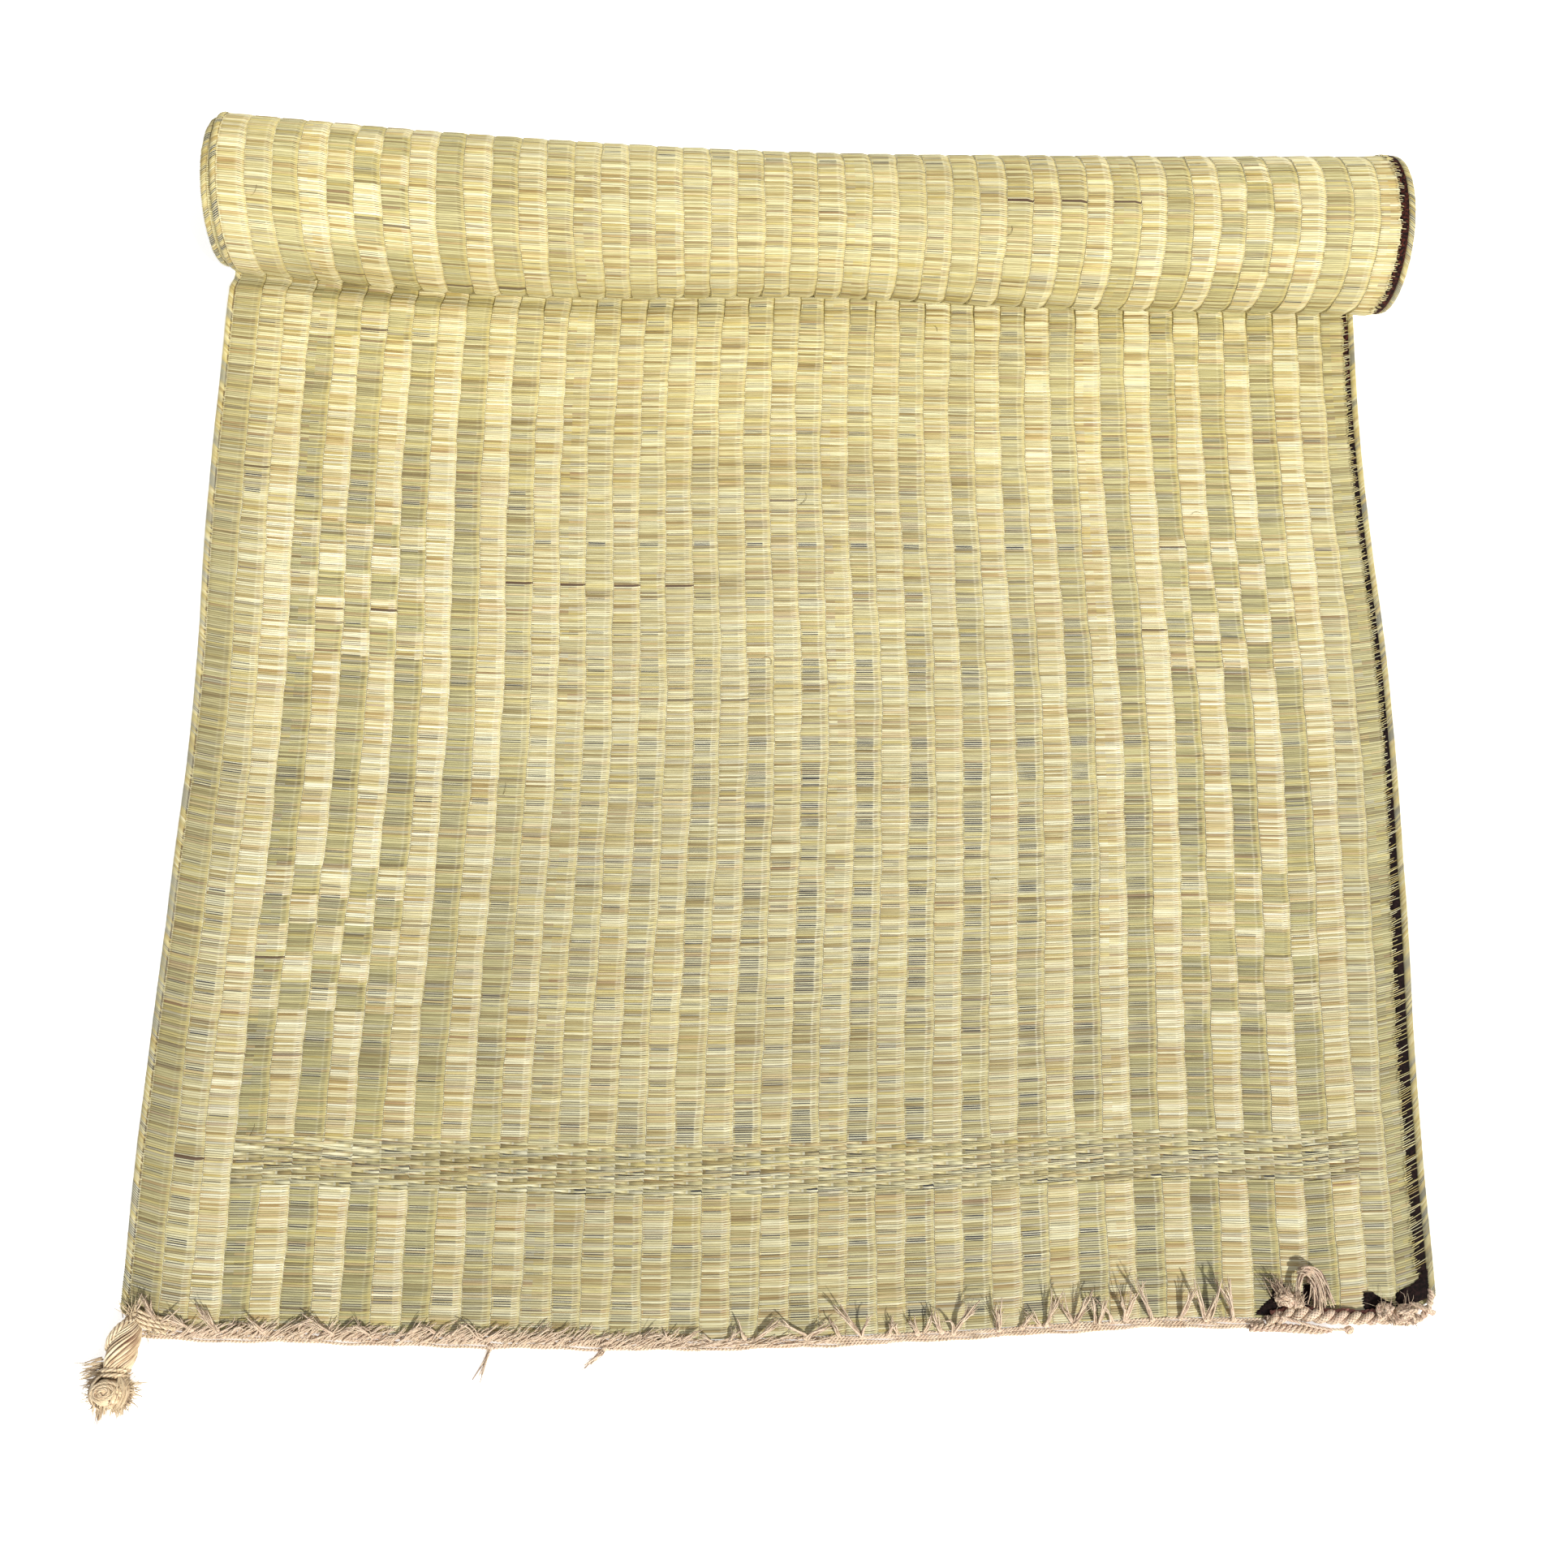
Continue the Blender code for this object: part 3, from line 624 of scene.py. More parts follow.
def frames(path: np.ndarray) -> tuple[np.ndarray, np.ndarray, np.ndarray]:
    """Return the ways ahead, to the side and up at each point of a path."""
    forward = np.gradient(path, axis=0)
    forward /= np.linalg.norm(forward, axis=1, keepdims=True) + 1e-12
    steady = np.where(np.abs(forward[:, 2:]) > 0.92, np.array([[0.0, 1.0, 0.0]]), np.array([[0.0, 0.0, 1.0]]))
    level = np.cross(forward, steady)
    level /= np.linalg.norm(level, axis=1, keepdims=True) + 1e-12
    return forward, level, np.cross(level, forward)


def wound(path: np.ndarray, offset: np.ndarray | float, pitch: float, phase: float) -> np.ndarray:
    """Return a path that winds around another one.

    Args:
        path: the path in the middle.
        offset: how far from it the new one lies.
        pitch: the length of one turn.
        phase: where the first turn starts, in turns.
    Returns:
        The points of the new path.
    """
    _, level, upward = frames(path)
    steps = np.linalg.norm(np.diff(path, axis=0), axis=1)
    along = np.concatenate([[0.0], np.cumsum(steps)])
    angle = 2 * math.pi * (along / pitch + phase)
    offset = np.broadcast_to(np.asarray(offset, float), along.shape)[:, None]
    return path + (level * np.cos(angle)[:, None] + upward * np.sin(angle)[:, None]) * offset


def even_path(points: Sequence[Sequence[float]], step: float) -> np.ndarray:
    """Return a smooth path through a few points, cut into even steps."""
    points = np.asarray(points, float)
    along = np.concatenate([[0.0], np.cumsum(np.linalg.norm(np.diff(points, axis=0), axis=1))])
    fine = np.linspace(0, along[-1], max(8, int(along[-1] / step) + 1))
    slopes = np.gradient(points, along, axis=0)
    row = np.clip(np.searchsorted(along, fine) - 1, 0, len(along) - 2)
    span = (along[row + 1] - along[row])[:, None]
    t = (fine - along[row])[:, None] / span
    return ((1 + 2 * t) * (1 - t) ** 2 * points[row] + t * (1 - t) ** 2 * slopes[row] * span
            + t * t * (3 - 2 * t) * points[row + 1] - t * t * (1 - t) * slopes[row + 1] * span)


def frayed(root: Sequence[float], way: Sequence[float], length: float, count: int, spread: float,
           rng: np.random.Generator, rings: int = 6, low: float = 0.0006, start: float = 0.0012) -> np.ndarray:
    """Return the paths of fibres that fan out from one place.

    Args:
        root: where they start.
        way: the way that they point.
        length: how long they are.
        count: how many there are.
        spread: how far they fan out, as a share of their length.
        rng: the chance numbers.
        rings: how many points each path has.
        low: the lowest height of a point over the floor.
        start: how far apart their roots lie.
    Returns:
        An array of paths.
    """
    way = np.asarray(way, float) / np.linalg.norm(way)
    t = np.linspace(0, 1, rings)[None, :, None]
    roots = np.asarray(root, float) + rng.normal(size=(count, 1, 3)) * start * 0.5
    aside = rng.normal(size=(count, 1, 3)) * spread
    curl = rng.normal(size=(count, 1, 3)) * spread * 0.6
    size = length * rng.uniform(0.55, 1.1, (count, 1, 1))
    paths = roots + size * (way * t + aside * t ** 1.4 + curl * np.sin(t * 3.0 + rng.uniform(0, 3, (count, 1, 1))) * t)
    paths[:, :, 2] = np.clip(paths[:, :, 2], low, np.asarray(root, float)[2] + 0.6 * length)
    return paths


# Finishes

class Nodes:
    """Makes and links shader nodes in one tree."""

    def __init__(self, tree: bpy.types.NodeTree) -> None:
        """Work in the given tree."""
        self.tree = tree

    def node(self, kind: str, inputs: dict | None = None, **options: object) -> bpy.types.Node:
        """Make a node, set its options, and set or link its inputs."""
        made = self.tree.nodes.new(kind)
        for name, value in options.items():
            setattr(made, name, value)
        for name, value in (inputs or {}).items():
            self.feed(made.inputs[name], value)
        return made

    def feed(self, socket: bpy.types.NodeSocket, value: object) -> None:
        """Link an output to a socket, or set the socket to a plain value."""
        if isinstance(value, bpy.types.NodeSocket):
            self.tree.links.new(value, socket)
        elif isinstance(value, tuple) and len(value) == 3 and socket.type == "RGBA":
            socket.default_value = (*value, 1.0)
        else:
            socket.default_value = value

    def math(self, operation: str, a: object, b: object = 0.0, c: object = 0.0) -> bpy.types.NodeSocket:
        """Make a Math node and return its value."""
        return self.node("ShaderNodeMath", {0: a, 1: b, 2: c}, operation=operation).outputs[0]

    def ease(self, value: object, low: float, high: float, to_low: float = 0.0,
             to_high: float = 1.0) -> bpy.types.NodeSocket:
        """Return a smooth step from one value to another."""
        made = self.node("ShaderNodeMapRange", {"Value": value, "From Min": low, "From Max": high,
                                                "To Min": to_low, "To Max": to_high},
                         interpolation_type="SMOOTHSTEP")
        return made.outputs[0]

    def mix(self, share: object, a: object, b: object, blend: str = "MIX") -> bpy.types.NodeSocket:
        """Mix two colours and return the result."""
        made = self.node("ShaderNodeMix", data_type="RGBA", blend_type=blend)
        for number, value in ((0, share), (6, a), (7, b)):
            self.feed(made.inputs[number], value)
        return made.outputs[2]

    def vector(self, x: object, y: object, z: object = 0.0) -> bpy.types.NodeSocket:
        """Join three numbers to a vector."""
        return self.node("ShaderNodeCombineXYZ", {0: x, 1: y, 2: z}).outputs[0]

    def split(self, vector: object) -> bpy.types.bpy_prop_collection:
        """Return a vector's three numbers."""
        return self.node("ShaderNodeSeparateXYZ", {0: vector}).outputs

    def noise(self, vector: object, scale: float, detail: float = 1.0) -> bpy.types.NodeSocket:
        """Return a smooth noise."""
        return self.node("ShaderNodeTexNoise", {"Vector": vector, "Scale": scale, "Detail": detail}).outputs[0]

    def chance(self, vector: object) -> bpy.types.NodeSocket:
        """Return a chance number for each different vector."""
        return self.node("ShaderNodeTexWhiteNoise", {"Vector": vector}, noise_dimensions="3D").outputs[0]

    def ramp(self, value: object, stops: Sequence[tuple[float, Colour]]) -> bpy.types.NodeSocket:
        """Return a colour that runs through several stops."""
        made = self.node("ShaderNodeValToRGB", {0: value})
        stair = made.color_ramp.elements
        while len(stair) < len(stops):
            stair.new(0.5)
        for element, (place, colour) in zip(stair, stops):
            element.position = place
            element.color = (*colour, 1.0)
        return made.outputs[0]

    def group(self, tree: bpy.types.NodeTree, inputs: dict) -> bpy.types.bpy_prop_collection:
        """Place a node group, set or link its inputs, and return its outputs."""
        made = self.tree.nodes.new("ShaderNodeGroup")
        made.node_tree = tree
        for name, value in inputs.items():
            self.feed(made.inputs[name], value)
        return made.outputs


def new_group(name: str, inputs: dict[str, str], outputs: dict[str, str]) -> tuple[bpy.types.NodeTree, Nodes,
                                                                                     bpy.types.Node, bpy.types.Node]:
    """Start a shader node group.

    Args:
        name: the group's name.
        inputs: the kind of socket for each input.
        outputs: the kind of socket for each output.
    Returns:
        The tree, a maker for it, and its input and output nodes.
    """
    tree = bpy.data.node_groups.new(name, "ShaderNodeTree")
    for label, kind in inputs.items():
        tree.interface.new_socket(name=label, in_out="INPUT", socket_type=f"NodeSocket{kind}")
    for label, kind in outputs.items():
        tree.interface.new_socket(name=label, in_out="OUTPUT", socket_type=f"NodeSocket{kind}")
    nodes = Nodes(tree)
    return tree, nodes, tree.nodes.new("NodeGroupInput"), tree.nodes.new("NodeGroupOutput")


class ReedGroup:
    """The masks and tones of woven reeds, from the weave's map and its cells, among them the masks of painted shade
    and painted highlights.
    """

    def __init__(self) -> None:
        """Build the group."""
        self.tree, n, given, out = new_group(
            "woven_reeds",
            {"Weave": "Vector", "Gap": "Float", "Pale": "Float"},
            {"Tone": "Float", "Crest": "Float", "Strip": "Float", "Depth": "Float", "Lit": "Float",
             "Gap": "Float", "Streak": "Float", "Hue": "Float", "Age": "Float", "Float": "Float",
             "Rust": "Float", "Warm": "Float"})
        column, row, _ = n.split(given.outputs["Weave"])
        column_number, row_number = n.math("FLOOR", column), n.math("FLOOR", row)
        part, reed_part = n.math("FRACT", column), n.math("FRACT", row)
        parity = n.math("MULTIPLY", n.math("FRACT", n.math("MULTIPLY", column_number, 0.5)), 2.0)
        own = n.math("MULTIPLY_ADD", row_number, 7.31, n.math("MULTIPLY", parity, 3.77))
        lengthwise = n.noise(n.vector(n.math("MULTIPLY", column, 0.11), own, 0.0), 1.0, 1.0)
        one_cell = n.chance(n.vector(column_number, row_number, 1.0))
        whole_reed = n.chance(n.vector(row_number, parity, 2.0))
        run = n.noise(n.vector(n.math("MULTIPLY", column, 0.05), n.math("MULTIPLY", row, 0.05),
                               n.math("MULTIPLY", parity, 9.1)), 1.0, 2.0)
        spread = n.math("MULTIPLY_ADD", n.ease(lengthwise, 0.3, 0.7), 0.32,
                        n.math("MULTIPLY_ADD", one_cell, 0.24, n.math("MULTIPLY", whole_reed, 0.20)))
        tone = n.ease(n.math("MULTIPLY_ADD", n.ease(run, 0.32, 0.68), 0.08, spread), 0.08, 0.74)
        crest = n.math("SUBTRACT", 1.0, n.math("ABSOLUTE", n.math("MULTIPLY_ADD", reed_part, 2.0, -1.0)))
        # Painted shade in the valleys between reeds. It is deeper at the column borders, where the steps face away
        # from the lamp, and it varies row by row.
        valley = n.ease(crest, 0.10, 0.50, 1.0, 0.0)
        turned = n.math("FRACT", n.math("ADD", part, 0.03))
        left_step_shade = n.math("MULTIPLY", n.ease(turned, 0.0, 0.015), n.ease(turned, 0.07, 0.14, 1.0, 0.0))
        right_dots = n.math("MULTIPLY", n.ease(part, 0.72, 0.76), n.ease(part, 0.82, 0.88, 1.0, 0.0))
        strip = n.math("MULTIPLY", n.ease(part, 0.82, 0.90), n.ease(part, 0.965, 0.975, 1.0, 0.0))
        sides = n.math("MULTIPLY_ADD", left_step_shade, 0.50,
                       n.math("MULTIPLY_ADD", right_dots, 0.48, n.math("MULTIPLY_ADD", strip, -0.06, 0.50)))
        own_depth = n.math("MULTIPLY_ADD", n.math("POWER", n.chance(n.vector(row_number, column_number, 11.0)), 2.5),
                           1.25, 0.55)
        depth = n.math("MINIMUM", n.math("MULTIPLY", n.math("MULTIPLY", valley, sides), own_depth), 0.92)
        inside = n.math("MULTIPLY", n.ease(part, 0.03, 0.07), n.ease(part, 0.66, 0.70, 1.0, 0.0))
        # Painted shade in the open gaps between reeds, in runs and in lone rows, where the cell's gap share is high.
        in_run = n.ease(n.noise(n.vector(n.math("MULTIPLY", column, 0.035), n.math("MULTIPLY", row, 0.085),
                                         n.math("MULTIPLY", parity, 5.3)), 1.0, 0.0), 0.44, 0.55)
        open_reed = n.ease(n.chance(n.vector(row_number, parity, 7.0)), 0.34, 0.48)
        lone = n.math("MULTIPLY", n.ease(n.chance(n.vector(row_number, parity, 8.0)), 0.90, 0.92),
                      n.ease(given.outputs["Gap"], 0.0, 0.30, 0.0, 0.8))
        wide = n.math("MULTIPLY", inside, n.math("MULTIPLY_ADD", n.math("MULTIPLY", in_run, open_reed),
                                                 given.outputs["Gap"], lone))
        gap = n.math("MINIMUM", n.math("MULTIPLY", wide, n.ease(crest, 0.36, 0.80, 1.0, 0.0)), 1.0)
        # Painted highlights fall in four places: a rim near the right side of gappy columns, the pale columns' right
        # ends (which face the lamp), the reeds beside open gaps, and the steps' risers (which the lamp leaves in
        # shadow).
        rim = n.math("MULTIPLY", n.math("MULTIPLY", n.ease(part, 0.64, 0.69), n.ease(part, 0.72, 0.76, 1.0, 0.0)),
                     given.outputs["Gap"])
        end_highlight = n.math("MULTIPLY", n.math("MULTIPLY", n.ease(part, 0.60, 0.80), n.ease(part, 0.90, 0.96, 1.0, 0.0)),
                          given.outputs["Pale"])
        riser = n.ease(part, 0.955, 0.965)
        lit = n.math("MULTIPLY_ADD", rim, 0.45, n.math("MULTIPLY_ADD", end_highlight, 0.55,
                                                        n.math("MULTIPLY_ADD", wide, 0.5,
                                                               n.math("MULTIPLY", riser, 0.6))))
        lit = n.math("MULTIPLY", lit, n.math("MULTIPLY_ADD", n.chance(n.vector(row_number, column_number, 12.0)),
                                             0.6, 0.4))
        streak = n.noise(n.vector(n.math("MULTIPLY", column, 1.7), n.math("MULTIPLY", row, 4.0), parity), 1.0, 3.0)
        hue = n.chance(n.vector(row_number, n.math("FLOOR", n.math("MULTIPLY", column, 0.30)),
                                n.math("ADD", parity, 3.0)))
        # Brightness by row: darker towards the front edge and a little darker from row 530 on. Rows 580 to 655, the
        # roll's top edge, get painted light because the lamp leaves them dim.
        by_row = n.math("MULTIPLY", n.ease(row, -20.0, 520.0, 0.79, 0.99), n.ease(row, 530.0, 570.0, 1.0, 0.885))
        by_row = n.math("MULTIPLY", by_row, n.math("MULTIPLY", n.ease(row, 580.0, 598.0, 1.0, 1.32),
                                                   n.ease(row, 612.0, 655.0, 1.0, 1 / 1.32)))
        age_and_light = n.math("MULTIPLY", by_row,
                     n.ease(n.noise(n.vector(n.math("MULTIPLY", column, 0.13), n.math("MULTIPLY", row, 0.011), 33.0),
                                    1.0, 2.0), 0.3, 0.7, 0.94, 1.04))
        warm = n.ease(row, 330.0, 500.0, 0.0, 1.0)
        # Float is painted shade towards the ends of the slanting band's floats, where they dip under the next reeds.
        for name, value in (("Tone", tone), ("Crest", crest), ("Strip", strip), ("Depth", depth), ("Warm", warm),
                            ("Lit", n.math("MULTIPLY", lit, n.ease(crest, 0.2, 0.5))), ("Gap", gap),
                            ("Streak", streak), ("Hue", hue), ("Age", age_and_light),
                            ("Float", n.math("MULTIPLY", n.ease(part, 0.0, 0.20, 0.58, 1.08),
                                             n.ease(part, 0.84, 1.0, 1.0, 0.62))),
                            # Rows whose painted valley shade is tinted orange.
                            ("Rust", n.ease(n.chance(n.vector(row_number, parity, 14.0)), 0.50, 0.62))):
            n.feed(out.inputs[name], value)


class YarnGroup:
    """The tone and height of jute fibres that run slanting along a cord."""

    def __init__(self) -> None:
        """Build the group."""
        self.tree, n, given, out = new_group(
            "jute_fibres",
            {"Lay": "Vector", "Slant": "Float", "Place": "Vector"},
            {"Tone": "Float", "Height": "Float", "Patch": "Float"})
        along, around, _ = n.split(given.outputs["Lay"])
        turned = n.math("MULTIPLY_ADD", along, given.outputs["Slant"], around)
        fibre = n.noise(n.vector(n.math("MULTIPLY", turned, 34.0), n.math("MULTIPLY", along, 70.0), 0.0), 1.0, 3.0)
        strand = n.noise(n.vector(n.math("MULTIPLY", turned, 9.0), n.math("MULTIPLY", along, 30.0), 5.0), 1.0, 1.0)
        patch = n.noise(given.outputs["Place"], 130.0, 3.0)
        tone = n.math("MULTIPLY_ADD", fibre, 0.50, n.math("MULTIPLY_ADD", strand, 0.30,
                                                          n.math("MULTIPLY", patch, 0.20)))
        n.feed(out.inputs["Tone"], n.ease(tone, 0.33, 0.67))
        n.feed(out.inputs["Height"], fibre)
        n.feed(out.inputs["Patch"], n.ease(patch, 0.35, 0.7))


def new_material(name: str) -> tuple[bpy.types.Material, Nodes, bpy.types.Node]:
    """Start a material and return it with a maker for its nodes and its shader."""
    made = bpy.data.materials.new(name)
    made.use_nodes = True
    return made, Nodes(made.node_tree), made.node_tree.nodes["Principled BSDF"]


@dataclass(frozen=True)
class SedgeFinish:
    """Dry split reeds, from cream to olive, with a few brown ones, painted shade in their valleys and open gaps, and
    painted highlights on their crests.
    """
    pale: tuple[tuple[float, Colour], ...] = (
        (0.00, (0.360, 0.250, 0.095)), (0.22, (0.510, 0.405, 0.180)), (0.50, (0.665, 0.590, 0.340)),
        (0.78, (0.785, 0.735, 0.495)), (1.00, (0.900, 0.870, 0.650)))
    olive: tuple[tuple[float, Colour], ...] = (
        (0.00, (0.205, 0.160, 0.075)), (0.25, (0.318, 0.282, 0.134)), (0.52, (0.425, 0.390, 0.192)),
        (0.78, (0.505, 0.464, 0.232)), (1.00, (0.585, 0.532, 0.282)))
    string: Colour = (0.600, 0.500, 0.200)
    # Colour of the painted highlights on the reeds' crests.
    cream: Colour = (0.930, 0.890, 0.690)
    yellow: Colour = (0.620, 0.510, 0.170)
    grey: Colour = (0.480, 0.460, 0.380)
    tan: Colour = (0.570, 0.410, 0.200)
    mould: Colour = (0.280, 0.160, 0.090)
    brown: Colour = (0.075, 0.038, 0.022)
    # Colour of the painted shade seen in the open gaps between reeds.
    hollow: Colour = (0.034, 0.034, 0.036)
    # Colour of the painted shade in the valleys between reeds.
    valley: Colour = (0.115, 0.090, 0.042)
    # Orange tint of the painted valley shade, in about half the rows.
    rust: Colour = (0.340, 0.175, 0.055)
    roughness: float = 0.62

    def build(self, name: str, reeds: ReedGroup, fine_rows: bool) -> bpy.types.Material:
        """Make the material.

        Args:
            name: its name.
            reeds: the group with the masks.
            fine_rows: whether the rows of reeds are raised by the material, on a face without them.
        Returns:
            The material.
        """
        made, n, shader = new_material(name)
        weave = n.node("ShaderNodeUVMap", uv_map="weave").outputs[0]
        cell = n.node("ShaderNodeAttribute", attribute_name="cell")
        olive, gap_share, brown = n.split(cell.outputs["Vector"])
        masks = n.group(reeds.tree, {"Weave": weave, "Gap": gap_share, "Pale": n.math("SUBTRACT", 1.0, olive)})
        greenness = n.math("MULTIPLY", olive, n.ease(masks["Warm"], 0.0, 1.0, 1.0, 0.76))
        shade = n.mix(greenness, n.ramp(masks["Tone"], self.pale), n.ramp(masks["Tone"], self.olive))
        for colour, start, end, share in ((self.yellow, 0.68, 0.82, 0.45), (self.grey, 0.82, 0.90, 0.45),
                                          (self.tan, 0.90, 0.98, 0.50), (self.mould, 0.98, 1.10, 0.60)):
            chosen = n.math("MULTIPLY", n.ease(masks["Hue"], start, start + 0.01, 0.0, share),
                            n.ease(masks["Hue"], end - 0.01, end, 1.0, 0.0))
            shade = n.mix(chosen, shade, colour)
        shade = n.mix(n.math("MULTIPLY", masks["Strip"], 0.50), shade, self.string)
        shade = n.mix(n.ease(cell.outputs["Alpha"], 0.0, 1.0, 0.0, 0.85), shade, self.string)
        # Painted highlights in cream on the crests.
        shade = n.mix(masks["Lit"], shade, self.cream)
        # Painted shade at the ends of the slanting band's floats.
        float_end_shade = n.math("MULTIPLY_ADD", n.ease(cell.outputs["Alpha"], -1.0, -0.5, 1.0, 0.0),
                            n.math("SUBTRACT", masks["Float"], 1.0), 1.0)
        # Streaks, random age patches and the painted light by row.
        light = n.math("MULTIPLY", n.math("MULTIPLY", n.ease(masks["Streak"], 0.3, 0.7, 0.84, 1.10), float_end_shade),
                       masks["Age"])
        tinted = n.vector(light, n.math("MULTIPLY", light, n.ease(masks["Warm"], 0.0, 1.0, 1.0, 0.985)),
                          n.math("MULTIPLY", light, n.ease(masks["Warm"], 0.0, 1.0, 1.0, 0.885)))
        shade = n.mix(1.0, shade, tinted, "MULTIPLY")
        # Painted shade in the valleys between reeds, dark olive or orange.
        rust = n.math("MULTIPLY", masks["Rust"], n.ease(olive, 0.2, 0.8, 0.9, 0.25))
        shade = n.mix(masks["Depth"], shade, n.mix(rust, self.valley, self.rust))
        shade = n.mix(brown, shade, self.brown)
        # Painted shade in the open gaps between reeds.
        shade = n.mix(masks["Gap"], shade, self.hollow)
        n.feed(shader.inputs["Base Color"], shade)
        n.feed(shader.inputs["Roughness"], n.ease(masks["Tone"], 0.1, 0.9, self.roughness - 0.1,
                                                  self.roughness + 0.1))
        height = n.math("MULTIPLY", masks["Streak"], 0.25)
        if fine_rows:
            height = n.math("ADD", height, n.ease(masks["Crest"], 0.0, 0.8))
        bump = n.node("ShaderNodeBump", {"Height": height, "Strength": 0.5, "Distance": 0.0004})
        n.feed(shader.inputs["Normal"], bump.outputs[0])
        shader.inputs["Specular IOR Level"].default_value = 0.35
        return made


@dataclass(frozen=True)
class JuteFinish:
    """Twisted jute, from brown to pale straw on its fibres, with painted shade in its grooves."""
    dark: Colour = (0.260, 0.130, 0.085)
    usual: Colour = (0.720, 0.560, 0.400)
    light: Colour = (0.950, 0.850, 0.690)
    stain: Colour = (0.420, 0.170, 0.140)
    # Colour of the painted shade in the grooves.
    groove: Colour = (0.120, 0.050, 0.032)
    stained: float = 0.15
    grooved: float = 0.92
    slant: float = 60.0
    roughness: float = 0.85

    def build(self, name: str, yarn: YarnGroup) -> bpy.types.Material:
        """Make the material from the group of fibres."""
        made, n, shader = new_material(name)
        lay = n.node("ShaderNodeUVMap", uv_map="lay").outputs[0]
        place = n.node("ShaderNodeTexCoord").outputs["Object"]
        hollow = n.node("ShaderNodeAttribute", attribute_name="hollow").outputs["Fac"]
        parts = n.group(yarn.tree, {"Lay": lay, "Slant": self.slant, "Place": place})
        shade = n.ramp(parts["Tone"], ((0.0, self.dark), (0.38, self.usual), (0.90, self.light)))
        shade = n.mix(n.math("MULTIPLY", parts["Patch"], self.stained), shade, self.stain)
        # Painted shade in the grooves between yarns and strands.
        shade = n.mix(n.ease(hollow, 0.15, 0.95, 0.0, self.grooved), shade, self.groove)
        n.feed(shader.inputs["Base Color"], shade)
        n.feed(shader.inputs["Roughness"], n.ease(parts["Tone"], 0.0, 1.0, self.roughness - 0.08,
                                                  self.roughness + 0.08))
        bump = n.node("ShaderNodeBump", {"Height": parts["Height"], "Strength": 0.7, "Distance": 0.0007})
        n.feed(shader.inputs["Normal"], bump.outputs[0])
        shader.inputs["Specular IOR Level"].default_value = 0.25
        return made


@dataclass(frozen=True)
class DarkYarnAndShadowFinish:
    """Black yarn with a hint of purple, dusty on its top; it also colours the painted knot shadows."""
    deep: Colour = (0.007, 0.005, 0.005)
    worn: Colour = (0.028, 0.014, 0.014)
    reddish: Colour = (0.095, 0.025, 0.017)

    def build(self, name: str) -> bpy.types.Material:
        """Make the material."""
        made, n, shader = new_material(name)
        place = n.node("ShaderNodeTexCoord").outputs["Object"]
        tuft = n.noise(place, 420.0, 4.0)
        shader.inputs["Specular IOR Level"].default_value = 0.08
        on_roll = n.ease(n.split(place)[1], 0.32, 0.46)
        n.feed(shader.inputs["Base Color"], n.mix(on_roll, n.ramp(tuft, ((0.40, self.deep), (0.76, self.worn))),
                                                 n.ramp(tuft, ((0.42, self.deep), (0.72, self.reddish)))))
        n.feed(shader.inputs["Roughness"], n.ease(tuft, 0.2, 0.8, 0.8, 1.0))
        bump = n.node("ShaderNodeBump", {"Height": tuft, "Strength": 0.8, "Distance": 0.0008})
        n.feed(shader.inputs["Normal"], bump.outputs[0])
        return made


# The pieces

def set_cells(mesh: bpy.types.Mesh, olive: np.ndarray, gap: np.ndarray, brown: np.ndarray,
              string: np.ndarray) -> None:
    """Write each face's olive, gap, brown and string shares to the mesh; long floats have -1 for string."""
    values = np.stack(np.broadcast_arrays(olive, gap, brown, string), axis=-1).astype(np.float32)
    layer = mesh.attributes.new("cell", "FLOAT_COLOR", "FACE")
    layer.data.foreach_set("color", values.ravel())


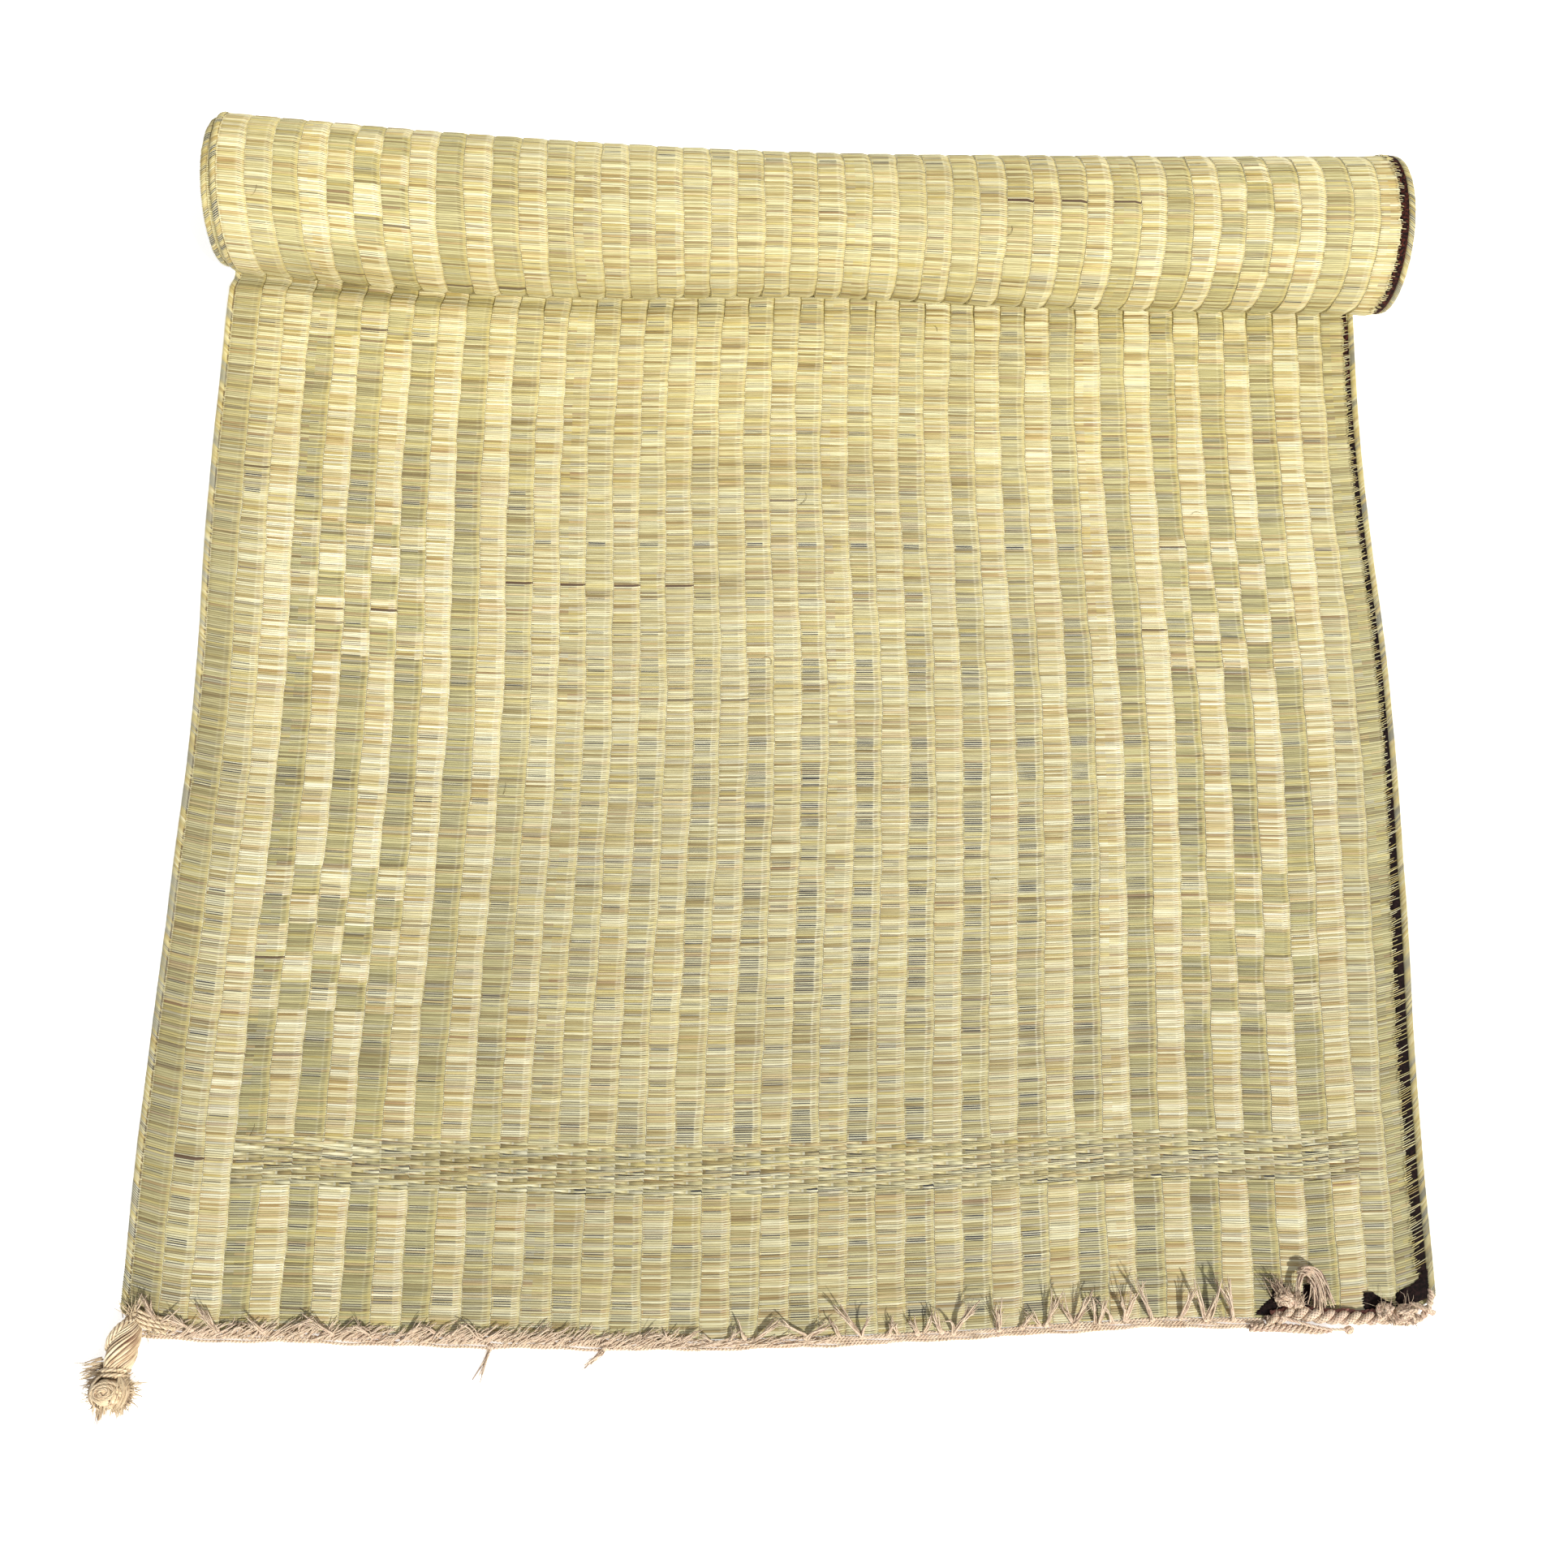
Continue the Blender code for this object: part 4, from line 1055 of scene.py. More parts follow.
@dataclass(frozen=True)
class WovenFace:
    """One stretch of the woven reeds as they show on one face of the mat."""
    name: str
    face: Face
    first_reed: int
    last_reed: int
    seed: int
    base: float = -0.0011
    reed_height: float = 0.00064
    crown: float = 0.00085
    proud: float = 0.00012
    uneven: float = 0.10
    wander: float = 0.0013

    def build(self, form: MatForm, weave: Weave, finish: bpy.types.Material) -> bpy.types.Object:
        """Make the stretch of woven face.

        Args:
            form: the surface that the mat lies in.
            weave: its warp columns and reeds.
            finish: its material.
        Returns:
            The new object.
        """
        across, number = weave.lines()
        rows = 2 * (self.last_reed - self.first_reed)
        bm = bmesh.new()
        bmesh.ops.create_grid(bm, x_segments=len(across) - 1, y_segments=rows, size=0.5)
        if self.face is Face.UNDER:
            bmesh.ops.reverse_faces(bm, faces=bm.faces)
        mesh = bpy.data.meshes.new(self.name)
        bm.to_mesh(mesh)
        bm.free()
        points = np.empty(len(mesh.vertices) * 3, np.float32)
        mesh.vertices.foreach_get("co", points)
        points = points.reshape(-1, 3)
        line = np.rint((points[:, 0] + 0.5) * (len(across) - 1)).astype(int)
        step = np.rint((points[:, 1] + 0.5) * rows).astype(int)
        placed, reed = self.shape(form, weave, across, number, line, step)
        mesh.vertices.foreach_set("co", placed.astype(np.float32).ravel())
        corners = np.empty(len(mesh.loops), np.int32)
        mesh.loops.foreach_get("vertex_index", corners)
        around = corners.reshape(-1, 4)
        column = np.floor(number[line[around]].mean(axis=1)).astype(int)
        row = np.floor(reed[around].mean(axis=1)) + 0.5
        lay = np.stack([number[line[corners]], reed[corners]], -1)
        if self.face is Face.TOP:
            floats = np.repeat(weave.in_twill(column, row * weave.reed_pitch), 4)
            phase = weave.float_phase(np.repeat(number[line[around]].mean(axis=1), 4), np.repeat(row - 0.5, 4))
            across_float = phase + (lay[:, 0] - np.repeat(number[line[around]].mean(axis=1), 4)) / 2
            lay[:, 0] = np.where(floats, across_float, lay[:, 0])
        mesh.uv_layers.new(name="weave").uv.foreach_set("vector", lay.astype(np.float32).ravel())
        self.dress(mesh, weave, np.clip(column, 0, weave.columns - 1), row * weave.reed_pitch)
        edges = np.empty(len(mesh.edges) * 2, np.int32)
        mesh.edges.foreach_get("vertices", edges)
        edges = edges.reshape(-1, 2)
        sharp = (step[edges[:, 0]] == step[edges[:, 1]]) & (step[edges[:, 0]] % 2 == 0)
        stepped = weave.at_step(number[line]) | (np.abs(number[line] - np.rint(number[line])) < 1e-6)
        sharp |= (line[edges[:, 0]] == line[edges[:, 1]]) & stepped[edges[:, 0]]
        mesh.shade_smooth()
        mesh.attributes.new("sharp_edge", "BOOLEAN", "EDGE").data.foreach_set("value", sharp)
        mesh.update()
        return show(self.name, mesh, finish)

    def shape(self, form: MatForm, weave: Weave, across: np.ndarray, number: np.ndarray, line: np.ndarray,
              step: np.ndarray) -> tuple[np.ndarray, np.ndarray]:
        """Work out where the reeds lie.

        Args:
            form: the surface that the mat lies in.
            weave: its warp columns and reeds.
            across: the place of each line across the mat.
            number: the column number of each line.
            line: each point's line.
            step: each point's half reed, counted from the first one.
        Returns:
            The points, and each point's reed number.
        """
        rng = np.random.default_rng(self.seed)
        reed = self.first_reed + step / 2
        along = reed * weave.reed_pitch
        column = np.floor(number[line] + 1e-6).astype(int)
        low = weave.at_step(number[line]) | (number[line] < 0) | (number[line] > weave.columns)
        valley = step % 2 == 0
        steps, own = step.max() + 1, np.clip(column, 0, weave.columns)
        drift = (rng.normal(size=(steps, weave.columns + 1))[step, own] * 0.8
                 + rng.normal(size=(steps, len(across)))[step, line] * 0.6) * self.uneven
        drift = np.where((step == 0) | (step == steps - 1), 0.0, drift)
        v = along + weave.reed_pitch * (weave.row_shift(number[line], reed, self.face) + drift)
        nearest = np.rint(number[line])
        bend = (np.sin(along * 31 + nearest * 2.3) + 0.7 * np.sin(along * 83 + nearest * 4.1)
                + 0.4 * np.sin(along * 190 + nearest * 1.3))
        u = across[line] + self.wander * 0.5 * bend * (np.abs(across[line]) < 0.57)
        olive = weave.olive(np.clip(column, 0, weave.columns - 1), along, self.face)
        gap = weave.gaps(np.clip(column, 0, weave.columns - 1), along, self.face)
        size = rng.uniform(0.45, 1.15, (steps, weave.columns + 1))[step, own]
        near_crease = np.exp(-((along - 1.055) / 0.022) ** 2) + np.exp(-((along - 1.500) / 0.026) ** 2)
        pillow = (self.crown * (1 + 0.4 * smooth((along - 0.96) / 0.10) + 2.6 * near_crease)
                  * (1 + 0.2 * np.sin(along * 47 + column * 2.9)))
        left_side = np.abs(number[line] - nearest) < 1e-6
        lift = self.base + np.where(low, 0.0, pillow * np.where(left_side, 0.66, 1.0) + self.proud * (1 - 2 * olive))
        ridge = self.reed_height * size * np.where(low, 0.75, 1.0)
        if self.face is Face.TOP:
            phase = weave.float_phase(number[line], np.floor(reed))
            bulge = np.sin(math.pi * (phase - np.floor(phase))) ** 0.6
            floats = weave.in_twill(column, along)
            lift = np.where(floats, self.base + 0.0003 + 0.0006 * bulge, lift)
            ridge = np.where(floats, self.reed_height * (0.3 + 0.9 * bulge), ridge)
        lift = lift + np.where(valley, -0.00035 * gap * ~low, ridge)
        return form.place(u, np.maximum(v, 0.0), lift, self.face), reed

    def dress(self, mesh: bpy.types.Mesh, weave: Weave, column: np.ndarray, along: np.ndarray) -> None:
        """Write the shares of olive, gap and brown for each face's cell."""
        floats = weave.in_twill(column, along) & (self.face is Face.TOP)
        set_cells(mesh, weave.olive(column, along, self.face), weave.gaps(column, along, self.face),
                  weave.brown(column, along, self.face), np.where(floats, -1.0, 0.0))


@dataclass(frozen=True)
class InnerSheet:
    """The body of the mat between its woven faces, from the front edge to its wound end."""
    name: str = "mat_sheet"
    cover: float = 0.0009
    covered_turns: float = 1.03
    step: float = 0.013

    def build(self, form: MatForm, weave: Weave, finish: bpy.types.Material) -> bpy.types.Object:
        """Make the closed sheet, a little thinner where woven faces lie on it."""
        half = weave.edge + 0.0035
        across = np.concatenate([[-half], weave.border(np.arange(weave.columns + 1)), [half]])
        end = form.length_at(form.turns)
        flat = np.linspace(0, form.flat_length - 0.3, 30)
        near = np.linspace(form.flat_length - 0.3, form.flat_length, 41)[1:]
        roll = np.linspace(form.flat_length, end, int((end - form.flat_length) / self.step))[1:]
        along = np.concatenate([flat, near, roll])
        bm = bmesh.new()
        bmesh.ops.create_grid(bm, x_segments=len(across) - 1, y_segments=len(along) - 1, size=0.5)
        under = set(bm.verts)
        bmesh.ops.extrude_face_region(bm, geom=bm.faces[:])
        top = np.array([vert not in under for vert in bm.verts])
        mesh = bpy.data.meshes.new(self.name)
        bm.to_mesh(mesh)
        bm.free()
        points = np.empty(len(mesh.vertices) * 3, np.float32)
        mesh.vertices.foreach_get("co", points)
        points = points.reshape(-1, 3)
        line = np.rint((points[:, 0] + 0.5) * (len(across) - 1)).astype(int)
        row = np.rint((points[:, 1] + 0.5) * (len(along) - 1)).astype(int)
        u, v = across[line], along[row]
        turns = form.turns_at(v)
        flat_cover = np.where(v <= form.flat_length - 0.004, self.cover, 0.0)
        roll_cover = self.cover * smooth(turns / 0.03) * (1 - smooth((turns - self.covered_turns) / 0.02))
        upper = form.place(u, v, -flat_cover, Face.TOP)
        lower = form.place(u, v, -roll_cover, Face.UNDER)
        mesh.vertices.foreach_set("co", np.where(top[:, None], upper, lower).astype(np.float32).ravel())
        self.turn_out(mesh)
        corners = np.empty(len(mesh.loops), np.int32)
        mesh.loops.foreach_get("vertex_index", corners)
        number = np.concatenate([[-0.15], np.arange(weave.columns + 1), [weave.columns + 0.15]])
        lay = np.stack([number[line[corners]], v[corners] / weave.reed_pitch], -1)
        mesh.uv_layers.new(name="weave").uv.foreach_set("vector", lay.astype(np.float32).ravel())
        starts = np.empty(len(mesh.polygons), np.int32)
        mesh.polygons.foreach_get("loop_start", starts)
        around = corners[starts[:, None] + np.arange(4)]
        column = np.clip(np.floor(number[line[around]].mean(axis=1)), 0, weave.columns - 1).astype(int)
        middle = v[around].mean(axis=1)
        # A quarter gap share paints a little shade in the sheet's gaps.
        set_cells(mesh, weave.olive(column, middle, Face.TOP), np.full(len(column), 0.25),
                  np.zeros(len(column)), np.zeros(len(column)))
        mesh.shade_smooth()
        mesh.set_sharp_from_angle(angle=math.radians(50))
        return show(self.name, mesh, finish)

    @staticmethod
    def turn_out(mesh: bpy.types.Mesh) -> None:
        """Turn the closed sheet's faces outwards."""
        bm = bmesh.new()
        bm.from_mesh(mesh)
        bmesh.ops.recalc_face_normals(bm, faces=bm.faces)
        if bm.calc_volume(signed=True) < 0:
            bmesh.ops.reverse_faces(bm, faces=bm.faces)
        bm.to_mesh(mesh)
        bm.free()


@dataclass(frozen=True)
class Selvedge:
    """A side edge of the mat, where the reeds turn back around the outermost warp strings."""
    side: Side
    middle: float = 0.5964
    half_width: float = 0.0040
    half_height: float = 0.0025
    sides: int = 8
    slant: float = 2.6
    wrap: float = 0.26
    proud_on_roll: float = 0.0012

    def build(self, form: MatForm, weave: Weave, finish: bpy.types.Material) -> bpy.types.Object:
        """Make the edge as one long tube of slanting wraps."""
        name = f"selvedge_{self.side.name.lower()}"
        reeds = int(form.length_at(form.turns) / weave.reed_pitch)
        rng = np.random.default_rng(31 + self.side.value)
        step = np.arange(2 * reeds + 1)
        angle = np.linspace(0, 2 * math.pi, self.sides + 1)
        angle[-1] = 0.0
        crest = step % 2 == 1
        swell = np.where(crest, rng.uniform(0.95, 1.08, len(step)), 1 - self.wrap)
        v = (step[:, None] / 2 + self.slant * 0.5 * np.cos(angle)[None, :] * self.side.value) * weave.reed_pitch
        v = np.clip(v, 0.0, form.length_at(form.turns))
        u = self.side.value * self.middle + self.half_width * swell[:, None] * np.cos(angle)[None, :]
        lift = (-form.thickness + self.half_height
                + self.half_height * swell[:, None] * np.sin(angle)[None, :])
        lift = lift - self.proud_on_roll * smooth((v - form.flat_length - 0.03) / 0.03)
        points = form.place(u, v, lift, Face.TOP)
        maker = MeshMaker("weave")
        number = -0.5 if self.side is Side.LEFT else weave.columns + 0.5
        lay = np.stack(np.broadcast_arrays(np.full((1, 1), number), step[:, None] / 2), -1)
        maker.grid(points, np.broadcast_to(lay, (len(step), self.sides + 1, 2)), close=True)
        made = maker.finish(name, finish, sharp=180.0)
        count = len(made.data.polygons)
        tone = rng.uniform(0.0, 0.35, count)
        # The full gap share paints shade between the wraps and highlights beside them.
        set_cells(made.data, tone, np.full(count, 1.6), self.stains(form, weave, rng, count), np.full(count, 0.45))
        return made

    def stains(self, form: MatForm, weave: Weave, rng: np.random.Generator, count: int) -> np.ndarray:
        """Return how brown each face is: dashes inside the left edge, and wraps on the roll's right end.

        Args:
            form: the surface that the mat lies in.
            weave: the rows of reeds.
            rng: the chance numbers.
            count: how many faces the edge has.
        Returns:
            The shares of brown.
        """
        face = np.arange(count)
        wrap, around = face // (2 * self.sides), face % self.sides
        chance = rng.random(wrap.max() + 1)[wrap]
        rolled = wrap * weave.reed_pitch > form.flat_length
        if self.side is Side.LEFT:
            inside = (around == 0) | (around == self.sides - 1)
            return np.where(inside & (chance < np.where(rolled, 0.75, 0.50)), 0.60 + 0.3 * chance, 0.0)
        return np.where(rolled, 0.10 + 0.35 * chance ** 2, 0.12 * chance ** 3)


class PatchRow(NamedTuple):
    """One row of a dark patch: its distance from the front edge, and where it starts and ends."""
    y: float
    first_x: float
    last_x: float


# Dark patches by the right front corner: painted shadows that the knots and the rope's bend cast up and to the left.
KNOT_SHADOW_PATCHES = (
    (PatchRow(y=0.0085, first_x=0.5600, last_x=0.5900), PatchRow(y=0.0180, first_x=0.5590, last_x=0.5940),
     PatchRow(y=0.0250, first_x=0.5630, last_x=0.5945), PatchRow(y=0.0310, first_x=0.5780, last_x=0.5945),
     PatchRow(y=0.0400, first_x=0.5850, last_x=0.5945)),
    (PatchRow(y=0.0030, first_x=0.5300, last_x=0.5590), PatchRow(y=0.0100, first_x=0.5290, last_x=0.5585),
     PatchRow(y=0.0150, first_x=0.5295, last_x=0.5480), PatchRow(y=0.0205, first_x=0.5320, last_x=0.5400)),
    (PatchRow(y=-0.0010, first_x=0.4300, last_x=0.4560), PatchRow(y=0.0070, first_x=0.4370, last_x=0.4640),
     PatchRow(y=0.0130, first_x=0.4450, last_x=0.4660), PatchRow(y=0.0200, first_x=0.4480, last_x=0.4640),
     PatchRow(y=0.0262, first_x=0.4530, last_x=0.4600)),
    (PatchRow(y=-0.0020, first_x=0.4650, last_x=0.4780), PatchRow(y=0.0080, first_x=0.4680, last_x=0.4820),
     PatchRow(y=0.0170, first_x=0.4740, last_x=0.4840), PatchRow(y=0.0270, first_x=0.4770, last_x=0.4850)),
)


@dataclass(frozen=True)
class DarkEdge:
    """The dark yarn just inside the right selvedge, with pale reed ends crossing it, and the dark patches of painted
    shadow by the front corner's knots.
    """
    inner: float = 0.5885
    inner_front: float = 0.5828
    outer: float = 0.5938
    height: float = 0.0010
    height_on_roll: float = 0.0018
    reach: float = 0.0030
    radius: float = 0.00038
    clear_of_floor: float = 0.022

    def build(self, form: MatForm, weave: Weave, yarn: bpy.types.Material,
              reeds: bpy.types.Material) -> list[bpy.types.Object]:
        """Make the yarn and the reed ends, on the flat part and on the roll's outer face, and the painted knot
        shadows.
        """
        dark, ends = MeshMaker(), MeshMaker("weave")
        rng = np.random.default_rng(77)
        outer_end = form.length_at(1.02)
        for face, start, end, kept, full, height in (
                (Face.TOP, 0.030, form.flat_length - 0.02, 0.85, 0.50, self.height),
                (Face.UNDER, form.flat_length + self.clear_of_floor, outer_end, 0.78, 0.02, self.height_on_roll)):
            along = np.arange(start, end, weave.reed_pitch)
            inner = self.inner + rng.normal(size=len(along)) * 0.0009
            if face is Face.TOP:
                inner -= (self.inner - self.inner_front) * smooth((0.55 - along) / 0.25)
            else:
                inner -= 0.0040
            self.lay_strip(dark, form, rng, (face, along, inner, np.full(len(along), self.outer)), height)
            self.add_ends(ends, form, rng, (face, along, inner), kept, full, height)
        for patch in KNOT_SHADOW_PATCHES:
            self.add_shadow_patch(dark, form, rng, patch)
        band = dark.finish("dark_yarn_and_knot_shadows", yarn)
        made = ends.finish("reed_ends", reeds)
        self.lay_reeds(made, weave)
        return [band, made]

    @staticmethod
    def lay_strip(dark: MeshMaker, form: MatForm, rng: np.random.Generator,
                  place: tuple[Face, np.ndarray, np.ndarray, np.ndarray], height: float) -> None:
        """Lay a low, uneven strip of yarn: its face, places along the mat, and two sides, then its height."""
        face, along, inner, outer = place
        share = np.array([0.0, 0.10, 0.5, 0.90, 1.0])
        rise = np.array([-0.0012, 0.8, 1.0, 0.8, -0.0012])
        rise = np.where(rise > 0, rise * height, rise)
        u = inner[:, None] + (outer - inner)[:, None] * share[None, :]
        lift = np.broadcast_to(rise[None, :], u.shape) + rng.normal(size=u.shape) * 0.00012
        v = np.broadcast_to(along[:, None], u.shape)
        points = form.place(u, v, lift, face)
        lay = np.stack(np.broadcast_arrays(along[:, None], share[None, :]), axis=-1)
        if face is Face.UNDER:
            points, lay = points[:, ::-1], lay[:, ::-1]
        dark.grid(points, lay)

    def add_shadow_patch(self, dark: MeshMaker, form: MatForm, rng: np.random.Generator,
                  patch: Sequence[PatchRow]) -> None:
        """Lay a ragged dark patch near the front edge, row by row: a painted shadow of a knot or of the rope's bend.
        """
        y = np.arange(patch[0].y, patch[-1].y, 0.0010)
        first = read_table(patch, "y", "first_x", y) + rng.normal(size=len(y)) * 0.0009
        last = read_table(patch, "y", "last_x", y) + rng.normal(size=len(y)) * 0.0006
        middle = (first + last) / 2
        start = read_table(FRONT, "x", "reed_y", middle)
        along = (y - start) / (read_table(ROLL, "x", "axis_y", middle) - start) * form.flat_length
        sway = read_table(SWAY, "at", "shift", y)
        self.lay_strip(dark, form, rng, (Face.TOP, np.maximum(along, 0.0), first - sway, last - sway),
                       self.height + 0.0003)

    def add_ends(self, ends: MeshMaker, form: MatForm, rng: np.random.Generator,
                 place: tuple[Face, np.ndarray, np.ndarray], kept: float, full: float, height: float) -> None:
        """Lay pale reed ends over the dark yarn.

        Args:
            ends: collects them.
            form: the surface that the mat lies in.
            rng: the chance numbers.
            place: the face, the places along the mat, and the yarn's inner side there.
            kept: the share of the reeds that show.
            full: the share of those that cross the whole yarn.
            height: how high the yarn lies.
        """
        face, along, inner = place
        chosen = rng.random(len(along)) < kept
        along, inner = along[chosen], inner[chosen]
        crossing = rng.random(len(along)) < full
        reach = np.where(crossing, 1.12, rng.uniform(0.10, 0.55, len(along)))
        t = np.linspace(0, 1, 4)[None, :]
        slant = (rng.uniform(0.2, 1.0, len(along)) * self.reach * reach)[:, None]
        from_u = (inner - 0.0015)[:, None]
        path_u = from_u + ((self.outer - inner) * reach + 0.0015)[:, None] * t
        path_v = along[:, None] + slant * t
        path_lift = height + 0.0001 + 0.0003 * np.sin(math.pi * t) + 0 * path_u
        ends.fibres(form.place(path_u, path_v, path_lift, face), self.radius, sides=4, taper=0.3)

    @staticmethod
    def lay_reeds(made: bpy.types.Object, weave: Weave) -> None:
        """Give the reed ends a map and cells of their own."""
        mesh = made.data
        count = len(mesh.polygons)
        rng = np.random.default_rng(5)
        loops = len(mesh.loops)
        row = np.repeat(rng.integers(0, 900, count // 14 + 1), 14)[:count]
        lay = np.full((loops, 2), weave.columns + 0.5, np.float32)
        starts = np.empty(count, np.int32)
        totals = np.empty(count, np.int32)
        mesh.polygons.foreach_get("loop_start", starts)
        mesh.polygons.foreach_get("loop_total", totals)
        owner = np.repeat(np.arange(count), totals)
        lay[:, 1] = row[owner] + 0.5
        mesh.uv_layers["weave"].uv.foreach_set("vector", lay.ravel())
        set_cells(mesh, np.full(count, 0.1), np.zeros(count), np.zeros(count), np.full(count, 0.3))


class WarpEnd(NamedTuple):
    """The cut end of a warp string: its root, how far its tip goes right, back and up, and its strands."""
    x: float
    lean: float
    reach: float
    rise: float
    strands: int


WARP_ENDS = (
    WarpEnd(x=-0.566, lean=-0.013, reach=0.022, rise=0.008, strands=4),
    WarpEnd(x=-0.536, lean=-0.020, reach=0.015, rise=0.005, strands=2),
    WarpEnd(x=-0.512, lean=-0.016, reach=0.020, rise=0.008, strands=4),
    WarpEnd(x=-0.470, lean=-0.015, reach=0.011, rise=0.005, strands=3),
    WarpEnd(x=-0.438, lean=0.012, reach=0.013, rise=0.004, strands=2),
    WarpEnd(x=-0.407, lean=-0.022, reach=0.012, rise=0.006, strands=4),
    WarpEnd(x=-0.372, lean=-0.014, reach=0.010, rise=0.005, strands=3),
    WarpEnd(x=-0.340, lean=0.014, reach=0.010, rise=0.004, strands=2),
    WarpEnd(x=-0.300, lean=0.014, reach=0.009, rise=0.004, strands=2),
    WarpEnd(x=-0.264, lean=-0.008, reach=-0.026, rise=0.000, strands=3),
    WarpEnd(x=-0.225, lean=0.014, reach=0.008, rise=0.004, strands=2),
    WarpEnd(x=-0.160, lean=-0.018, reach=-0.016, rise=0.000, strands=2),
    WarpEnd(x=-0.128, lean=0.015, reach=0.008, rise=0.004, strands=2),
    WarpEnd(x=-0.090, lean=0.015, reach=0.008, rise=0.004, strands=2),
    WarpEnd(x=-0.048, lean=0.010, reach=0.011, rise=0.005, strands=3),
    WarpEnd(x=-0.026, lean=0.024, reach=0.016, rise=0.007, strands=4),
    WarpEnd(x=0.022, lean=0.020, reach=0.013, rise=0.005, strands=3),
    WarpEnd(x=0.073, lean=-0.024, reach=0.026, rise=0.014, strands=4),
    WarpEnd(x=0.097, lean=0.004, reach=0.012, rise=0.007, strands=2),
    WarpEnd(x=0.123, lean=-0.006, reach=0.012, rise=0.007, strands=2),
    WarpEnd(x=0.145, lean=-0.008, reach=0.017, rise=0.010, strands=2),
    WarpEnd(x=0.156, lean=0.018, reach=0.024, rise=0.014, strands=4),
    WarpEnd(x=0.197, lean=-0.002, reach=0.019, rise=0.009, strands=3),
    WarpEnd(x=0.218, lean=0.010, reach=0.013, rise=0.006, strands=2),
    WarpEnd(x=0.240, lean=0.012, reach=0.026, rise=0.012, strands=3),
    WarpEnd(x=0.266, lean=0.012, reach=0.024, rise=0.012, strands=3),
    WarpEnd(x=0.288, lean=0.007, reach=0.020, rise=0.010, strands=2),
    WarpEnd(x=0.314, lean=-0.006, reach=0.021, rise=0.010, strands=2),
    WarpEnd(x=0.337, lean=-0.014, reach=0.031, rise=0.016, strands=4),
    WarpEnd(x=0.363, lean=0.012, reach=0.027, rise=0.012, strands=3),
    WarpEnd(x=0.386, lean=0.008, reach=0.021, rise=0.010, strands=2),
    WarpEnd(x=0.411, lean=-0.010, reach=0.032, rise=0.016, strands=4),
)


